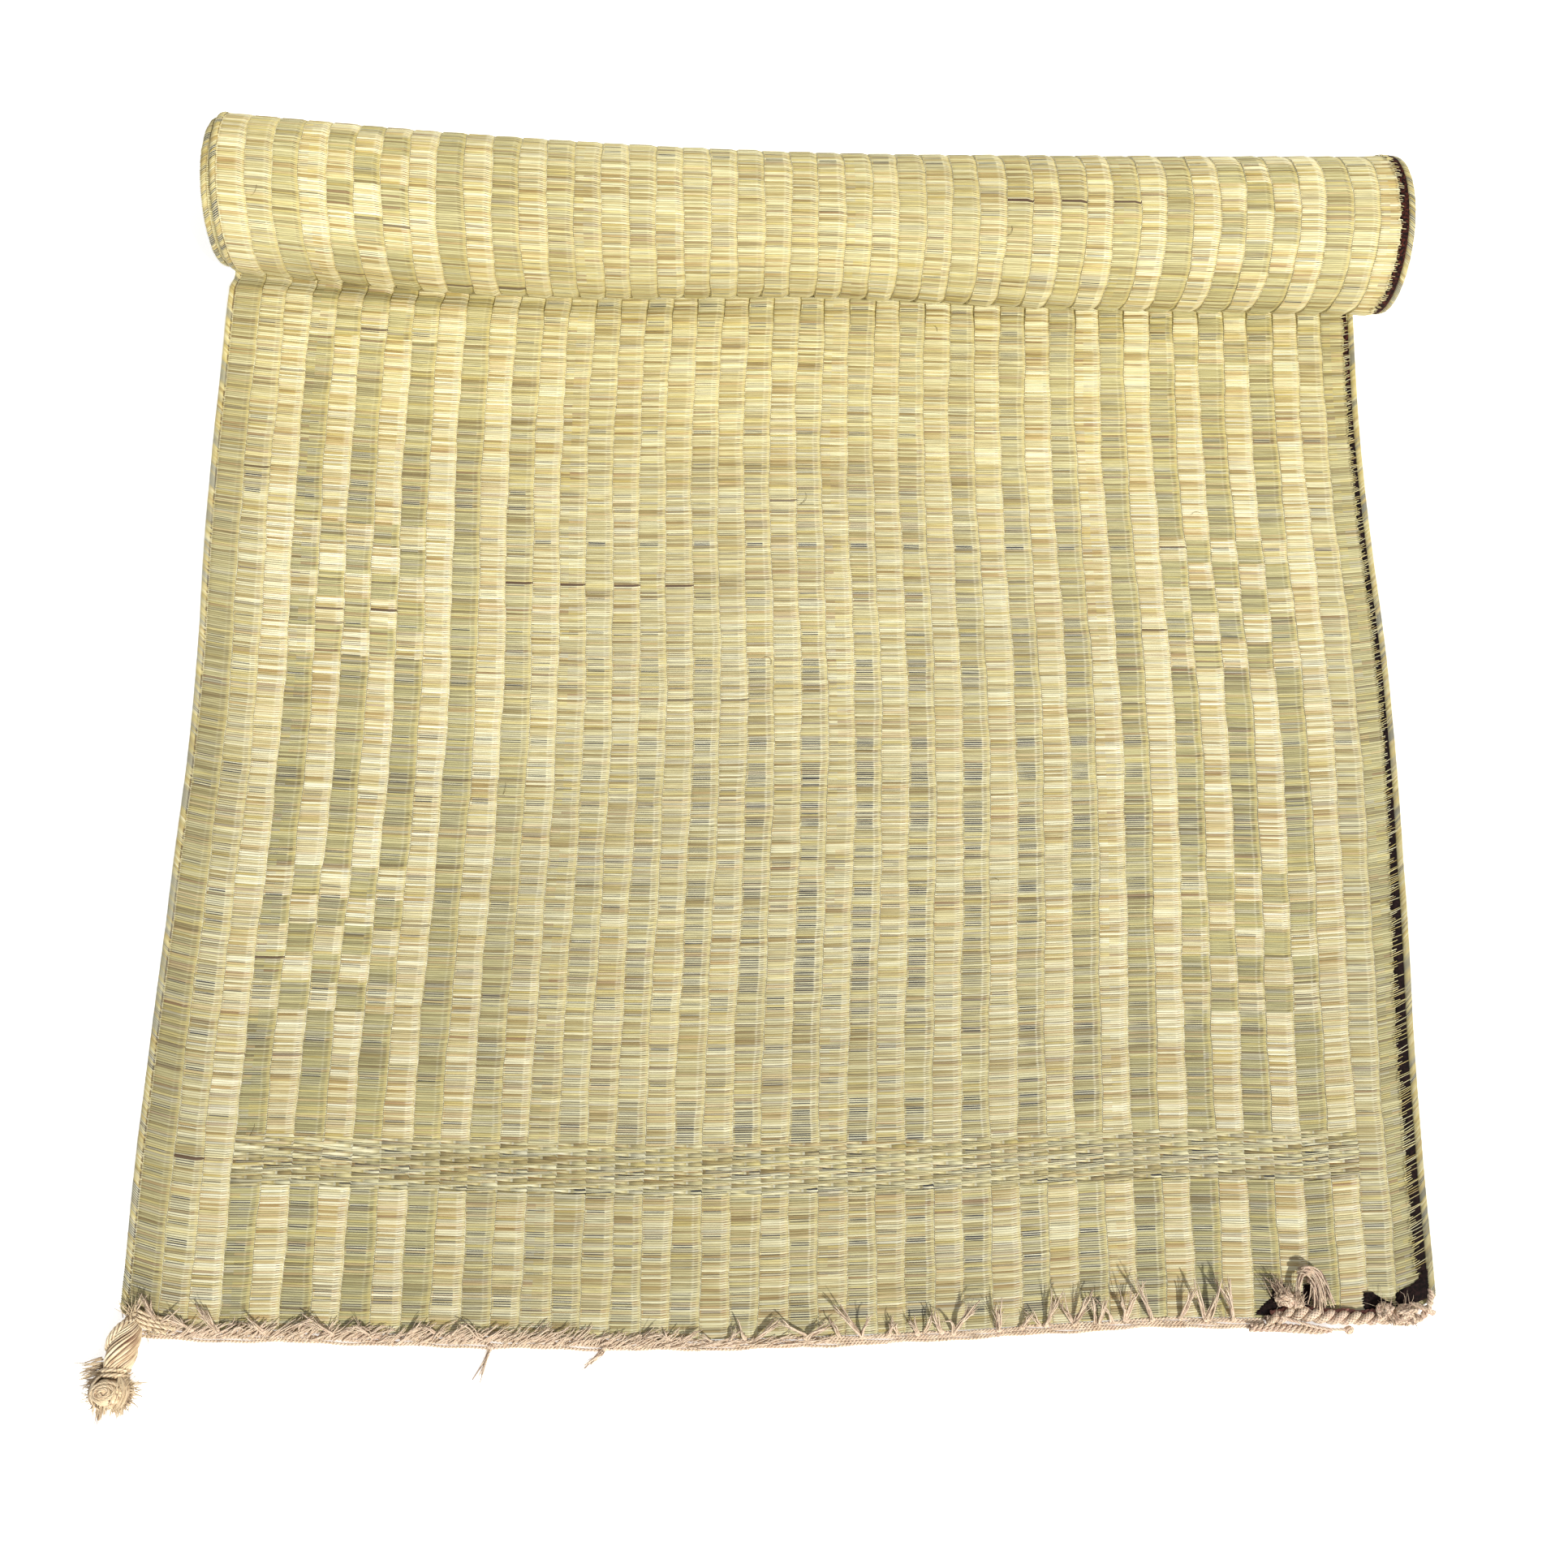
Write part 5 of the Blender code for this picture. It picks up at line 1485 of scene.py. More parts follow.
@dataclass(frozen=True)
class FrontBinding:
    """The jute cords laid along the front edge, and the ends of the warp strings tied to them."""
    start_x: float = -0.5808
    end_x: float = 0.4400
    ply_radius: float = 0.00090
    ply_offset: float = 0.00072
    ply_pitch: float = 0.0068
    step: float = 0.00115
    gap: float = 0.0004
    lanes: tuple[float, ...] = (0.10, 0.37, 0.64, 0.90)

    def lane(self, x: np.ndarray, share: float) -> np.ndarray:
        """Return the middle line of one cord, at a share of the binding's depth."""
        inner = read_table(FRONT, "x", "reed_y", x) - self.gap
        outer = read_table(FRONT, "x", "cord_y", x)
        sway = 0.0006 * np.sin(x * 57 + share * 9) + 0.0004 * np.sin(x * 143 + share * 5)
        y = inner + (outer - inner) * share + sway
        z = self.ply_radius + self.ply_offset + 0.0002 * np.sin(x * 90 + share * 20)
        return np.stack([x, y, z], axis=-1)

    def build_cords(self, form: MatForm, finish: bpy.types.Material) -> bpy.types.Object:
        """Make the cords, each of two yarns wound together."""
        maker = MeshMaker()
        x = np.arange(self.start_x, self.end_x, self.step)
        for number, share in enumerate(self.lanes):
            path = form.moved(self.lane(x, share))
            for phase in (0.0, 0.5):
                ply = wound(path, self.ply_offset, self.ply_pitch, phase + number * 0.3)
                maker.tube(ply, self.ply_radius, sides=5)
        return maker.finish("edge_cords", finish, sharp=180.0)

    def build_ends(self, form: MatForm, finish: bpy.types.Material) -> bpy.types.Object:
        """Make the knots and frayed ends of the warp strings."""
        maker = MeshMaker()
        rng = np.random.default_rng(12)
        for end in WARP_ENDS:
            lane = 0.10 if end.reach > 0 else 0.80
            root = self.lane(np.array([end.x]), lane)[0] + np.array([0, 0, 0.0022])
            tip = root + np.array([end.lean, end.reach, end.rise])
            if end.reach < 0:
                tip[2] = 0.0012
            bend = root + (tip - root) * 0.5 + np.array([0, 0, 0.005 if end.reach > 0 else -0.0004])
            maker.ball(form.moved(root), (0.0027, 0.0022, 0.0017), 3, int(end.x * 1000) % 97, 0.20, yarns=4)
            self.add_bundle(maker, form, rng, (root, bend, tip), 2 + end.strands, 0.00098, 0.0026)
            kind = rng.random()
            if end.reach > 0 and kind < 0.60:
                side = end.lean if abs(end.lean) > 0.006 else 0.007
                beside = self.lane(np.array([tip[0] + side * rng.uniform(0.5, 1.1)]), lane)[0]
                beside = beside + np.array([0, 0, 0.0022])
                meet = tip + rng.normal(size=3) * np.array([0.002, 0.002, 0.0006])
                self.add_bundle(maker, form, rng, (beside, (beside + meet) / 2 + np.array([0, 0, 0.0045]), meet),
                                1 + end.strands, 0.00092, 0.0026)
            elif end.reach > 0 and kind < 0.80:
                other = np.array([-2.0 * end.lean * rng.uniform(0.4, 0.8), -0.3 * end.reach, 0.0])
                self.add_bundle(maker, form, rng, (root, bend + other * 0.35, tip + other), end.strands,
                                0.00085, 0.0030)
            self.add_bundle(maker, form, rng, (root, bend, tip), 4 + 2 * end.strands, 0.00040, 0.0030)
            fuzz = frayed(form.moved(root), (end.lean, end.reach, 0.006), 0.009, 6, 0.5, rng)
            maker.fibres(fuzz, 0.00026)
        self.add_crossings(maker, form, rng)
        return maker.finish("warp_ends", finish, sharp=180.0)

    @staticmethod
    def add_bundle(maker: MeshMaker, form: MatForm, rng: np.random.Generator,
                   through: tuple[np.ndarray, np.ndarray, np.ndarray], count: int, radius: float,
                   spread: float) -> None:
        """Add a bundle of strands that start together, bend and come apart towards their tips.

        Args:
            maker: collects them.
            form: the surface that the mat lies in.
            rng: the chance numbers.
            through: the bundle's root, bend and tip.
            count: how many strands it has.
            radius: each strand's radius.
            spread: how far apart their tips lie.
        """
        t = np.linspace(0, 1, 9)[None, :, None]
        root, bend, tip = (place + rng.normal(size=(count, 1, 3)) * apart
                           for place, apart in zip(through, (0.0008, 0.0012, spread)))
        tip = root + (tip - root) * rng.uniform(0.70, 1.15, (count, 1, 1))
        paths = root * (1 - t) ** 2 + 2 * bend * t * (1 - t) + tip * t ** 2
        paths = paths + rng.normal(size=(count, 1, 3)) * 0.0006 * np.sin(t * rng.uniform(4, 8, (count, 1, 1)))
        paths[:, :, 2] = np.maximum(paths[:, :, 2], radius + 0.0002)
        maker.fibres(form.moved(paths), radius * rng.uniform(0.8, 1.15, count), sides=4, taper=0.5)

    def add_crossings(self, maker: MeshMaker, form: MatForm, rng: np.random.Generator) -> None:
        """Lay strands slanting over the left half of the cords, and loose fibres along all of them."""
        for x in np.arange(-0.578, 0.04, 0.0034):
            lean = rng.uniform(0.010, 0.026)
            low_share = rng.uniform(0.35, 0.75)
            root = self.lane(np.array([x]), low_share)[0] + np.array([0, 0, 0.0012])
            rise = rng.uniform(0.7, 1.5) if x < -0.10 else rng.uniform(0.3, 0.6)
            tip = self.lane(np.array([x + lean]), low_share - rise)[0] + np.array([0, 0, 0.0032])
            self.add_bundle(maker, form, rng, (root, (root + tip) / 2 + np.array([0, 0, 0.0022]), tip),
                            3 if x < -0.10 else 1, 0.00078, 0.0018)
        for x in np.arange(self.start_x + 0.01, self.end_x, 0.009):
            root = self.lane(np.array([x]), rng.uniform(0, 1))[0] + np.array([0, 0, 0.0016])
            way = (rng.normal(), rng.normal() * 0.6, 0.25)
            maker.fibres(frayed(form.moved(root), way, 0.008, 3, 0.5, rng), 0.0002)


class RopePoint(NamedTuple):
    """A point on a rope's middle line, with the rope's radius there."""
    x: float
    y: float
    z: float
    radius: float


class Knot(NamedTuple):
    """A knot of frayed jute: its middle, radius, the way its ends point, and their length."""
    x: float
    y: float
    z: float
    radius: float
    toward: tuple[float, float, float]
    ends: float


CORNER_ROPE = (
    RopePoint(x=0.4404, y=-0.0060, z=0.0062, radius=0.0044),
    RopePoint(x=0.4650, y=0.0000, z=0.0078, radius=0.0066),
    RopePoint(x=0.4950, y=-0.0018, z=0.0078, radius=0.0064),
    RopePoint(x=0.5200, y=-0.0028, z=0.0074, radius=0.0060),
    RopePoint(x=0.5480, y=-0.0028, z=0.0070, radius=0.0056),
    RopePoint(x=0.5760, y=-0.0010, z=0.0060, radius=0.0046),
)

CORNER_KNOTS = (
    Knot(x=0.4575, y=0.0135, z=0.0095, radius=0.0082, toward=(-0.45, 1.0, 0.4), ends=0.007),
    Knot(x=0.4690, y=0.0090, z=0.0085, radius=0.0058, toward=(0.1, 1.0, 0.5), ends=0.005),
    Knot(x=0.5480, y=0.0035, z=0.0100, radius=0.0076, toward=(0.3, -0.6, 0.5), ends=0.003),
    Knot(x=0.5670, y=0.0020, z=0.0102, radius=0.0086, toward=(0.6, -0.5, 0.5), ends=0.003),
)


TAIL = (
    RopePoint(x=-0.5860, y=-0.0130, z=0.0066, radius=0.0034),
    RopePoint(x=-0.5868, y=-0.0180, z=0.0092, radius=0.0068),
    RopePoint(x=-0.5880, y=-0.0240, z=0.0114, radius=0.0104),
    RopePoint(x=-0.5900, y=-0.0320, z=0.0134, radius=0.0132),
    RopePoint(x=-0.5925, y=-0.0420, z=0.0150, radius=0.0147),
    RopePoint(x=-0.5950, y=-0.0520, z=0.0150, radius=0.0138),
    RopePoint(x=-0.5965, y=-0.0600, z=0.0145, radius=0.0116),
    RopePoint(x=-0.5970, y=-0.0665, z=0.0145, radius=0.0106),
)


def rope_line(points: Sequence[RopePoint], step: float) -> tuple[np.ndarray, np.ndarray]:
    """Return a rope's middle line in even steps, and its radius along it."""
    path = even_path([(p.x, p.y, p.z) for p in points], step)
    places = np.array([[p.x, p.y, p.z] for p in points])
    along = np.concatenate([[0.0], np.cumsum(np.linalg.norm(np.diff(places, axis=0), axis=1))])
    own = np.linspace(0, along[-1], len(path))
    return path, np.interp(own, along, [p.radius for p in points])


@dataclass(frozen=True)
class CornerRope:
    """The two-yarn rope at the right front corner, with the knots tied on it."""
    pitch: float = 0.024
    yarns: int = 6

    def build(self, form: MatForm, finish: bpy.types.Material) -> bpy.types.Object:
        """Make the rope, the thinner cords in front of it and its knots."""
        maker = MeshMaker()
        rng = np.random.default_rng(21)
        path, radius = rope_line(CORNER_ROPE, 0.0011)
        path = form.moved(path)
        for phase in (0.0, 0.5):
            strand = wound(path, radius * 0.50, self.pitch, phase)
            maker.tube(strand, radius * 0.58, sides=32, twist=-0.017, yarns=(self.yarns, 0.22))
        lower = form.moved(even_path([(0.425, -0.0120, 0.0046), (0.446, -0.0118, 0.0050),
                                      (0.470, -0.0128, 0.0050), (0.488, -0.0136, 0.0046),
                                      (0.500, -0.0140, 0.0040)], 0.0012))
        slim = 1 - 0.5 * smooth((np.linspace(0, 1, len(lower)) - 0.80) / 0.20)
        for phase in (0.0, 0.33, 0.67):
            maker.tube(wound(lower, 0.0025 * slim, 0.015, phase), 0.00190 * slim, sides=16, twist=-0.010,
                       yarns=(4, 0.24))
        thin = form.moved(even_path([(0.452, -0.0020, 0.0125), (0.472, -0.0080, 0.0140),
                                     (0.494, -0.0125, 0.0090), (0.513, -0.0130, 0.0050)], 0.0012))
        maker.tube(thin, 0.0014, sides=12, twist=0.012, yarns=(3, 0.2))
        self.add_fan(maker, form, rng)
        turn = form.moved(even_path([(0.556, -0.0060, 0.0044), (0.574, -0.0050, 0.0056),
                                     (0.585, 0.0020, 0.0066), (0.5905, 0.0120, 0.0062),
                                     (0.5925, 0.0230, 0.0052)], 0.0012))
        for phase in (0.0, 0.5):
            maker.tube(wound(turn, 0.0017, 0.012, phase), 0.0019, sides=12, twist=-0.010, yarns=(3, 0.2))
        for first_x, last_x, level in ((0.5715, 0.5930, 0.0085), (0.5750, 0.5945, 0.0080), (0.5780, 0.5950, 0.0074)):
            bar = even_path([(first_x, 0.0110, 0.0055), ((first_x + last_x) / 2, 0.0060, level),
                             (last_x, 0.0075 - (0.5930 - first_x) * 0.3, 0.0042)], 0.0012)
            maker.tube(form.moved(bar), 0.0016, sides=12, twist=0.012, yarns=(3, 0.24))
        for number, knot in enumerate(CORNER_KNOTS):
            centre = form.moved((knot.x, knot.y, knot.z))
            size = knot.radius
            maker.ball(centre, (size * 0.80, size * 0.68, size * 0.52), 4, 40 + number, 0.16, yarns=5)
            self.wind(maker, rng, centre, size)
            count = 60 if knot.ends > 0.006 else 24
            root = centre + np.array(knot.toward) / np.linalg.norm(knot.toward) * size * 0.55
            maker.fibres(frayed(root, knot.toward, knot.ends + size * 0.7, count, 0.34, rng, start=size * 0.9),
                         rng.uniform(0.0003, 0.00080, count))
            fuzz = frayed(centre, (0, 0.3, 0.6), size * 1.3, 26, 0.8, rng, start=size * 0.6)
            maker.fibres(fuzz, 0.00030)
        small = form.moved((0.5150, -0.0132, 0.0050))
        maker.ball(small, (0.0042, 0.0036, 0.0030), 4, 61, 0.16, yarns=3)
        return maker.finish("corner_rope_twist", finish, sharp=180.0)

    @staticmethod
    def wind(maker: MeshMaker, rng: np.random.Generator, centre: np.ndarray, size: float) -> None:
        """Wind loops of yarn around a knot, each a little tilted from the last."""
        for _ in range(6):
            pole = rng.normal(size=3) * np.array([1.0, 1.0, 0.5])
            pole /= np.linalg.norm(pole)
            first = np.cross(pole, [0.1, 0.2, 1.0])
            first /= np.linalg.norm(first)
            angle = np.linspace(0, rng.uniform(4.5, 6.2), 26)[:, None]
            ring = np.cos(angle) * first + np.sin(angle) * np.cross(pole, first)
            ring = ring * np.array([1.0, 0.85, 0.66]) * size * rng.uniform(0.85, 1.05) + pole * size * 0.25
            path = centre + ring
            path[:, 2] = np.maximum(path[:, 2], 0.0034)
            maker.tube(path, size * rng.uniform(0.20, 0.27), sides=12, twist=0.010, yarns=(3, 0.26))

    @staticmethod
    def add_fan(maker: MeshMaker, form: MatForm, rng: np.random.Generator) -> None:
        """Lay the loop of loose strands that rises beside the first knot and fans out to the right."""
        for count, radius, places, apart in (
                (18, 0.00105, ((0.4690, 0.0080, 0.0090), (0.4665, 0.0240, 0.0150), (0.4740, 0.0380, 0.0125)),
                 (0.0020, 0.0018, 0.0018)),
                (62, 0.00090, ((0.4740, 0.0375, 0.0110), (0.4890, 0.0440, 0.0190), (0.4925, 0.0105, 0.0060)),
                 (0.0022, 0.0030, 0.0050)),
                (18, 0.00085, ((0.4800, 0.0300, 0.0080), (0.4860, 0.0300, 0.0140), (0.4850, 0.0080, 0.0070)),
                 (0.0012, 0.0018, 0.0030))):
            t = np.linspace(0, 1, 11)[None, :, None]
            first, middle, last = (np.array(place) + rng.normal(size=(count, 1, 3)) * step
                                   for place, step in zip(places, apart))
            paths = first * (1 - t) ** 2 + 2 * middle * t * (1 - t) + last * t ** 2
            paths[:, :, 2] = np.maximum(paths[:, :, 2], radius + 0.0003)
            maker.fibres(form.moved(paths), radius * rng.uniform(0.7, 1.15, count), sides=5, taper=0.45)

    def build_shade(self, form: MatForm, finish: bpy.types.Material) -> bpy.types.Object:
        """Make the dark reddish cord along the rope's upper edge, between the reeds and the rope: painted shade that
        stands for the shadow there.
        """
        maker = MeshMaker()
        x = np.arange(0.4450, 0.5740, 0.0012)
        y = read_table(CORNER_ROPE, "x", "y", x) + 0.0056 + 0.0008 * np.sin(x * 260)
        path = form.moved(np.stack([x, y, np.full_like(x, 0.0052)], -1))
        for phase in (0.0, 0.5):
            maker.tube(wound(path, 0.0010, 0.009, phase), 0.0015, sides=6)
        return maker.finish("corner_rope_shade", finish, sharp=180.0)


@dataclass(frozen=True)
class CornerTail:
    """The thick rope end at the left front corner, with its tied and frayed knot."""
    yarns: int = 21
    strands: int = 3
    twist: float = 0.090
    knot_centre: tuple[float, float, float] = (-0.5985, -0.0785, 0.0165)
    knot_size: tuple[float, float, float] = (0.0165, 0.0130, 0.0150)

    def build(self, form: MatForm, finish: bpy.types.Material) -> bpy.types.Object:
        """Make the twisted stub, the loops at its root, the knot and the frayed ends."""
        maker = MeshMaker()
        rng = np.random.default_rng(8)
        path, radius = rope_line(TAIL, 0.0009)
        path = form.moved(path)
        maker.tube(path, radius, sides=168, twist=self.twist, yarns=(self.yarns, 0.17),
                   strands=(self.strands, 0.11), wobble=0.16)
        side = form.moved(even_path([(-0.5870, -0.0180, 0.0110), (-0.5945, -0.0240, 0.0170),
                                     (-0.6005, -0.0330, 0.0182), (-0.6030, -0.0420, 0.0140)], 0.0009))
        maker.tube(side, 0.0060, sides=40, twist=-0.036, yarns=(8, 0.16), wobble=0.2)
        for place, reach, phase in ((-3, 0.0112, 0.5), (-8, 0.0116, 1.2)):
            maker.tube(self.ring(path[place], reach, 0.0015, phase), 0.0019, sides=12, twist=0.010, yarns=(3, 0.24))
        self.add_root(maker, form)
        centre = form.moved(self.knot_centre)
        maker.ball(centre, tuple(size * 0.94 for size in self.knot_size), 5, 91, 0.10, yarns=5)
        self.add_swirl(maker, centre)
        self.add_cover(maker, rng, centre)
        for count, way, length, spread, root in (
                (80, (-0.10, -1.0, -0.25), 0.0150, 0.09, (-0.0070, -0.0060, 0.0)),
                (70, (0.10, -1.0, -0.25), 0.0125, 0.09, (0.0085, -0.0060, 0.0)),
                (50, (0.0, -1.0, -0.30), 0.0095, 0.16, (0.0010, -0.0060, -0.003)),
                (44, (-1.0, -0.55, -0.25), 0.0130, 0.25, (-0.0100, -0.0020, -0.001)),
                (40, (-1.0, -0.22, -0.22), 0.0215, 0.13, (-0.0070, 0.0205, -0.004)),
                (34, (-1.0, -0.38, -0.20), 0.0180, 0.18, (-0.0090, 0.0110, -0.003)),
                (50, (1.0, 0.35, 0.10), 0.0110, 0.36, (0.0100, 0.0050, 0.0)),
                (40, (1.0, -0.55, -0.10), 0.0105, 0.30, (0.0105, -0.0020, 0.0))):
            paths = frayed(centre + np.array(root), way, length, count, spread, rng, rings=7, start=0.0055)
            maker.fibres(paths, rng.uniform(0.00045, 0.00095, count), sides=4)
        for root, way, length in (((-0.588, -0.016, 0.012), (0.1, 1.0, 0.4), 0.017),
                                  ((-0.590, -0.014, 0.010), (-0.5, 1.0, 0.3), 0.012),
                                  ((-0.572, -0.026, 0.008), (0.8, -0.7, 0.1), 0.008)):
            maker.fibres(frayed(form.moved(root), way, length, 16, 0.45, rng, start=0.004),
                         rng.uniform(0.0003, 0.0006, 16), sides=4)
        return maker.finish("corner_tail_twist", finish, sharp=180.0)

    @staticmethod
    def add_root(maker: MeshMaker, form: MatForm) -> None:
        """Lay the strands that run from the stub over the mat's corner into the binding."""
        for first_y, last_y, top, last_x in ((-0.0090, -0.0170, 0.0090, -0.5480),
                                             (-0.0125, -0.0205, 0.0115, -0.5560),
                                             (-0.0160, -0.0240, 0.0125, -0.5500),
                                             (-0.0200, -0.0275, 0.0120, -0.5580)):
            path = form.moved(even_path([(-0.5955, first_y - 0.0070, 0.0056), (-0.5870, first_y, top),
                                         (-0.5730, (first_y + last_y) / 2, top * 0.72),
                                         (last_x, last_y, 0.0048)], 0.0012))
            maker.tube(path, 0.0020, sides=15, twist=0.020, yarns=(4, 0.26), wobble=0.3)

    def add_cover(self, maker: MeshMaker, rng: np.random.Generator, centre: np.ndarray) -> None:
        """Lay frayed strands over the knot's sides, from its neck to its loose end."""
        count = 130
        t = np.linspace(0, 1, 10)[None, :]
        start = np.where(rng.random((count, 1)) < 0.5, rng.uniform(-0.35, 0.24, (count, 1)),
                         rng.uniform(0.76, 1.35, (count, 1)))
        round_axis = math.pi * start + rng.normal(size=(count, 1)) * 0.25 * t
        turn = math.pi * (0.12 + (rng.uniform(0.55, 0.86, (count, 1)) - 0.12) * t)
        size = np.array(self.knot_size) * 1.04
        out = rng.uniform(0.94, 1.12, (count, 1))
        x = np.sin(turn) * np.cos(round_axis) * size[0] * out
        y = np.cos(turn) * size[1] * 1.25
        z = np.sin(turn) * np.sin(round_axis) * size[2] * out
        paths = centre + np.stack([x, y, z], -1)
        paths[:, :, 2] = np.maximum(paths[:, :, 2], 0.0010)
        maker.fibres(paths, rng.uniform(0.00055, 0.00105, count), sides=4, taper=0.5)

    @staticmethod
    def ring(middle: np.ndarray, radius: float, height: float, phase: float) -> np.ndarray:
        """Return a closed turn of yarn around the rope's neck."""
        angle = np.linspace(0, 2 * math.pi, 34) + phase
        out = np.stack([np.cos(angle) * radius, np.sin(angle * 1.0 + 0.4) * height, np.sin(angle) * radius], -1)
        ring = middle + out
        ring[:, 2] = np.maximum(ring[:, 2], 0.0024)
        return ring

    @staticmethod
    def add_swirl(maker: MeshMaker, centre: np.ndarray) -> None:
        """Wind a flat spiral of yarn over the knot's upper side."""
        angle = np.linspace(0.6, 0.6 + 2 * math.pi * 2.7, 160)
        reach = np.linspace(0.0112, 0.0020, len(angle))
        x = np.cos(angle) * reach * 1.16 + np.sin(angle) * reach * 0.25 - 0.0020
        y = np.sin(angle) * reach * 0.78 + 0.0005
        z = 0.0150 * np.sqrt(np.clip(1 - (x / 0.0185) ** 2 - (y / 0.0150) ** 2, 0.04, 1)) + 0.0006
        maker.tube(centre + np.stack([x, y, z], -1), 0.0018, sides=14, twist=0.016, yarns=(4, 0.26))


class Hair(NamedTuple):
    """A loose fibre on the mat: its face, place, turn, length and how it curls."""
    face: Face
    across: float
    along: float
    turn: float
    length: float
    curl: float


HAIRS = (
    Hair(Face.TOP, -0.022, 0.643, 0.9, 0.016, 3.0),
    Hair(Face.TOP, 0.012, 0.820, 0.1, 0.016, 2.0),
    Hair(Face.TOP, -0.285, 0.505, 0.9, 0.013, 1.0),
    Hair(Face.TOP, -0.372, 0.478, 1.6, 0.007, 2.2),
    Hair(Face.TOP, 0.155, 1.022, 1.1, 0.010, 2.0),
    Hair(Face.TOP, 0.428, 0.815, 2.6, 0.012, 1.4),
    Hair(Face.TOP, -0.497, 0.170, 0.6, 0.012, 1.2),
    Hair(Face.TOP, 0.205, 0.420, 2.2, 0.009, 1.8),
    Hair(Face.UNDER, -0.552, 1.372, 1.5, 0.014, 1.2),
    Hair(Face.UNDER, 0.200, 1.377, 1.0, 0.018, 2.6),
    Hair(Face.UNDER, 0.395, 1.300, 2.7, 0.014, 0.8),
    Hair(Face.UNDER, -0.330, 1.480, 0.2, 0.011, 1.0),
)


@dataclass(frozen=True)
class LooseHairs:
    """The few curled fibres that lie on the mat."""
    radius: float = 0.00028

    def build(self, form: MatForm, finish: bpy.types.Material) -> bpy.types.Object:
        """Lay each fibre on its face of the mat."""
        maker = MeshMaker()
        for hair in HAIRS:
            t = np.linspace(0, 1, 12)
            angle = hair.turn + hair.curl * t
            step = hair.length / 11
            u = hair.across + np.cumsum(np.cos(angle)) * step
            v = hair.along + np.cumsum(np.sin(angle)) * step
            lift = 0.0004 + 0.0012 * np.sin(math.pi * t)
            maker.fibres(form.place(u, v, lift, hair.face)[None], self.radius, sides=4)
        return maker.finish("loose_fibres", finish, sharp=180.0)


# The studio

@dataclass(frozen=True)
class Studio:
    """The pale floor, the soft light and the camera."""
    focal_pixels: float = 2200.0
    pitch: float = 74.098
    yaw: float = -0.265
    roll: float = 0.38
    eye: tuple[float, float, float] = (-0.0014, 0.0137, 1.6994)
    light_from: tuple[float, float, float] = (0.43, -0.50, 0.75)
    light: float = 3.85
    light_size: float = 0.06
    fill_from: tuple[float, float, float] = (-0.10, -0.94, 0.32)
    fill: float = 0.55
    fill_size: float = 1.0
    sky: float = 0.555
    floor_shade: Colour = (0.86, 0.86, 0.85)
    floor_glow: float = 0.56

    def build(self, form: MatForm) -> None:
        """Set up everything around the mat."""
        scene = bpy.context.scene
        scene.view_settings.view_transform = "Standard"
        world = bpy.data.worlds.new("studio")
        world.use_nodes = True
        world.node_tree.nodes["Background"].inputs[0].default_value = (1.0, 1.0, 1.0, 1.0)
        world.node_tree.nodes["Background"].inputs[1].default_value = self.sky
        scene.world = world
        for name, way, energy, size in (("key", self.light_from, self.light, self.light_size),
                                        ("fill", self.fill_from, self.fill, self.fill_size)):
            lamp = bpy.data.lights.new(name, "SUN")
            lamp.energy = energy
            lamp.angle = size
            lamp.color = (1.0, 0.985, 0.91)
            placed = bpy.data.objects.new(name, lamp)
            placed.rotation_euler = Vector(way).to_track_quat("Z", "Y").to_euler()
            scene.collection.objects.link(placed)
        self.lay_floor()
        self.set_camera(form)

    def lay_floor(self) -> None:
        """Lay the plain pale floor."""
        bm = bmesh.new()
        bmesh.ops.create_grid(bm, x_segments=1, y_segments=1, size=12.0)
        mesh = bpy.data.meshes.new("floor")
        bm.to_mesh(mesh)
        bm.free()
        made, _, shader = new_material("floor_paper")
        shader.inputs["Base Color"].default_value = (*self.floor_shade, 1.0)
        shader.inputs["Roughness"].default_value = 0.9
        shader.inputs["Emission Color"].default_value = (1.0, 1.0, 1.0, 1.0)
        shader.inputs["Emission Strength"].default_value = self.floor_glow
        floor = show("floor", mesh, made)
        floor.location.z = -0.0003

    def set_camera(self, form: MatForm) -> None:
        """Put the camera where the mat is seen as it should be."""
        th, yaw, roll = (math.radians(a) for a in (self.pitch, self.yaw, self.roll))
        ahead = Vector((math.sin(yaw) * math.cos(th), math.cos(yaw) * math.cos(th), -math.sin(th)))
        right = Vector((math.cos(yaw), -math.sin(yaw), 0.0))
        up = right.cross(ahead)
        turned_right = right * math.cos(roll) + up * math.sin(roll)
        turned_up = up * math.cos(roll) - right * math.sin(roll)
        data = bpy.data.cameras.new("camera")
        data.sensor_width = 36.0
        data.lens = self.focal_pixels / PICTURE_SIDE * data.sensor_width
        data.clip_start = 0.05
        camera = bpy.data.objects.new("camera", data)
        turn = Matrix((turned_right, turned_up, -ahead)).transposed()
        camera.location = Vector(form.moved(self.eye))
        camera.rotation_euler = turn.to_euler()
        bpy.context.scene.collection.objects.link(camera)
        bpy.context.scene.camera = camera


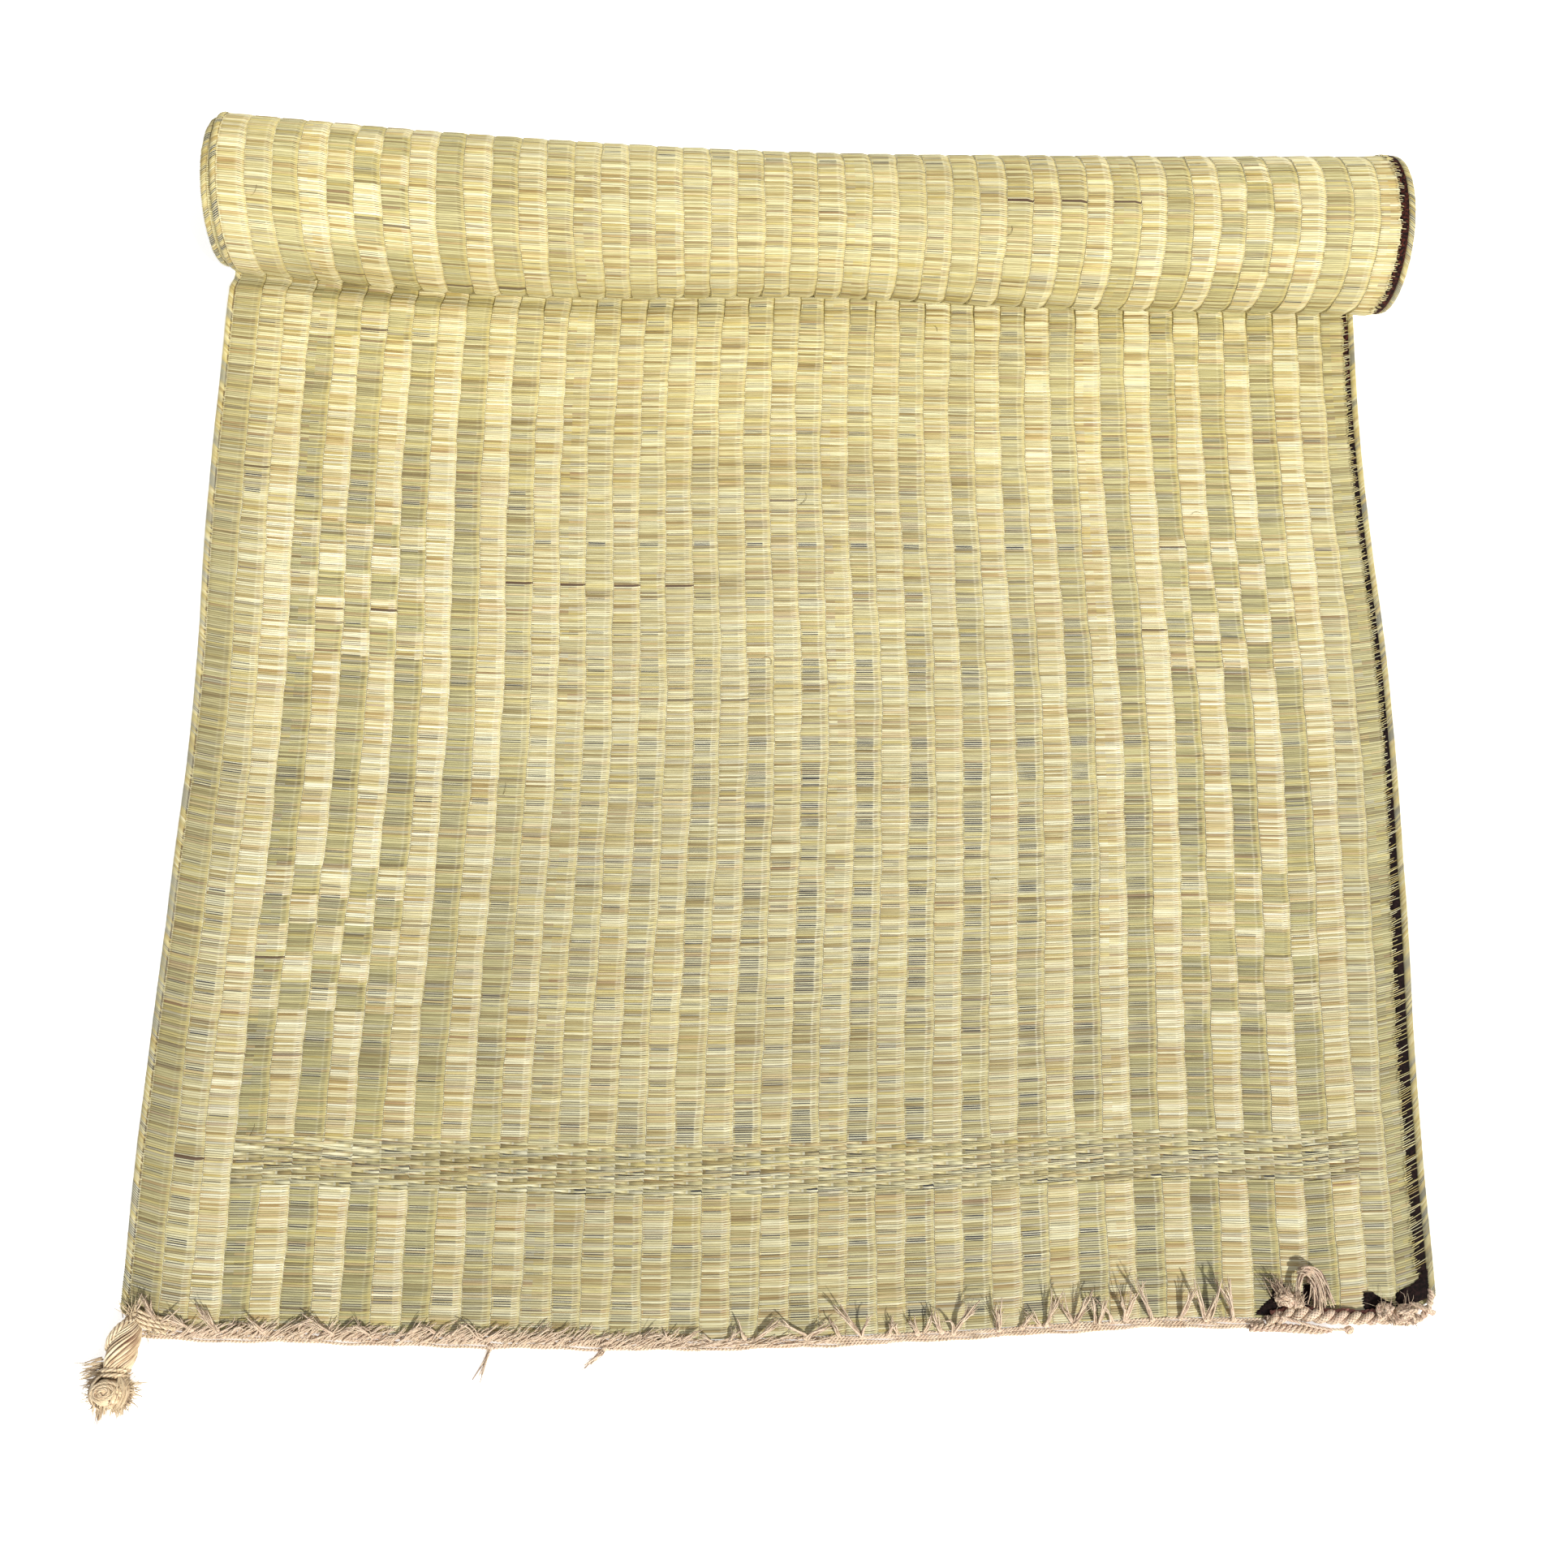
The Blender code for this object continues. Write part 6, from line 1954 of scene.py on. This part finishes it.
@dataclass
class Mat:
    """The whole mat, built piece by piece."""
    weave: Weave = field(default_factory=Weave)
    pieces: list[bpy.types.Object] = field(default_factory=list)

    def keep(self, piece: bpy.types.Object) -> bpy.types.Object:
        """Count a finished piece in, riding on the mat's one body."""
        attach(piece, "root")
        self.pieces.append(piece)
        piece.data.calc_loop_triangles()
        log.info("%s: %d triangles", piece.name, len(piece.data.loop_triangles))
        return piece

    def build(self, form: MatForm) -> None:
        """Make every piece and hide the frame's solids that they stand for."""
        reeds, yarn = ReedGroup(), YarnGroup()
        sedge = SedgeFinish().build("sedge_reeds", reeds, fine_rows=False)
        inner = SedgeFinish().build("sedge_sheet", reeds, fine_rows=True)
        cord = JuteFinish(stained=0.25).build("jute_cord", yarn)
        rope = JuteFinish(stained=0.40, groove=(0.060, 0.018, 0.016)).build("jute_rope", yarn)
        # A dark reddish jute for the cord of painted shade beside the corner rope.
        shaded = JuteFinish(dark=(0.03, 0.008, 0.010), usual=(0.16, 0.060, 0.055), light=(0.36, 0.19, 0.15),
                            stained=0.5).build("jute_rope_shade", yarn)
        tail = JuteFinish(stained=0.12, slant=9.5, usual=(0.690, 0.535, 0.340),
                          light=(0.920, 0.800, 0.580)).build("jute_tail", yarn)
        dark = DarkYarnAndShadowFinish().build("dark_yarn_and_knot_shadows")
        hair = JuteFinish(dark=(0.05, 0.04, 0.02), usual=(0.22, 0.17, 0.08), light=(0.5, 0.42, 0.2))
        sheet = self.keep(InnerSheet().build(form, self.weave, inner))
        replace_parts(sheet, "mat")
        last_flat = int((form.flat_length - 0.012) / self.weave.reed_pitch)
        first_wound = math.ceil((form.flat_length + 0.016) / self.weave.reed_pitch)
        last_wound = int(form.length_at(1.02) / self.weave.reed_pitch)
        half = last_flat // 2
        for face in (WovenFace("weave_front", Face.TOP, 0, half, 1),
                     WovenFace("weave_back", Face.TOP, half, last_flat, 2),
                     WovenFace("weave_roll", Face.UNDER, first_wound, last_wound, 3)):
            self.keep(face.build(form, self.weave, sedge))
        for side in Side:
            self.keep(Selvedge(side).build(form, self.weave, sedge))
        for piece in DarkEdge().build(form, self.weave, dark, sedge):
            self.keep(piece)
        self.keep(LooseHairs().build(form, hair.build("loose_fibre", yarn)))
        binding = FrontBinding()
        cords = self.keep(binding.build_cords(form, cord))
        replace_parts(cords, "edge_binding")
        ends = self.keep(binding.build_ends(form, cord))
        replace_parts(ends, "edge_binding")
        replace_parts(self.keep(CornerRope().build(form, rope)), "corner_rope")
        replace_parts(self.keep(CornerRope().build_shade(form, shaded)), "corner_rope")
        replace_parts(self.keep(CornerTail().build(form, tail)), "corner_tail")


def main() -> None:
    """Load the frame, build the mat and the studio, and log the mat's offset."""
    logging.basicConfig(level=logging.INFO, format="%(message)s")
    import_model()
    form = MatForm.fitted(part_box("mat")[0])
    log.info("offset %s", [round(v, 5) for v in form.offset])
    Mat().build(form)
    Studio().build(form)


if __name__ == "__main__":
    main()
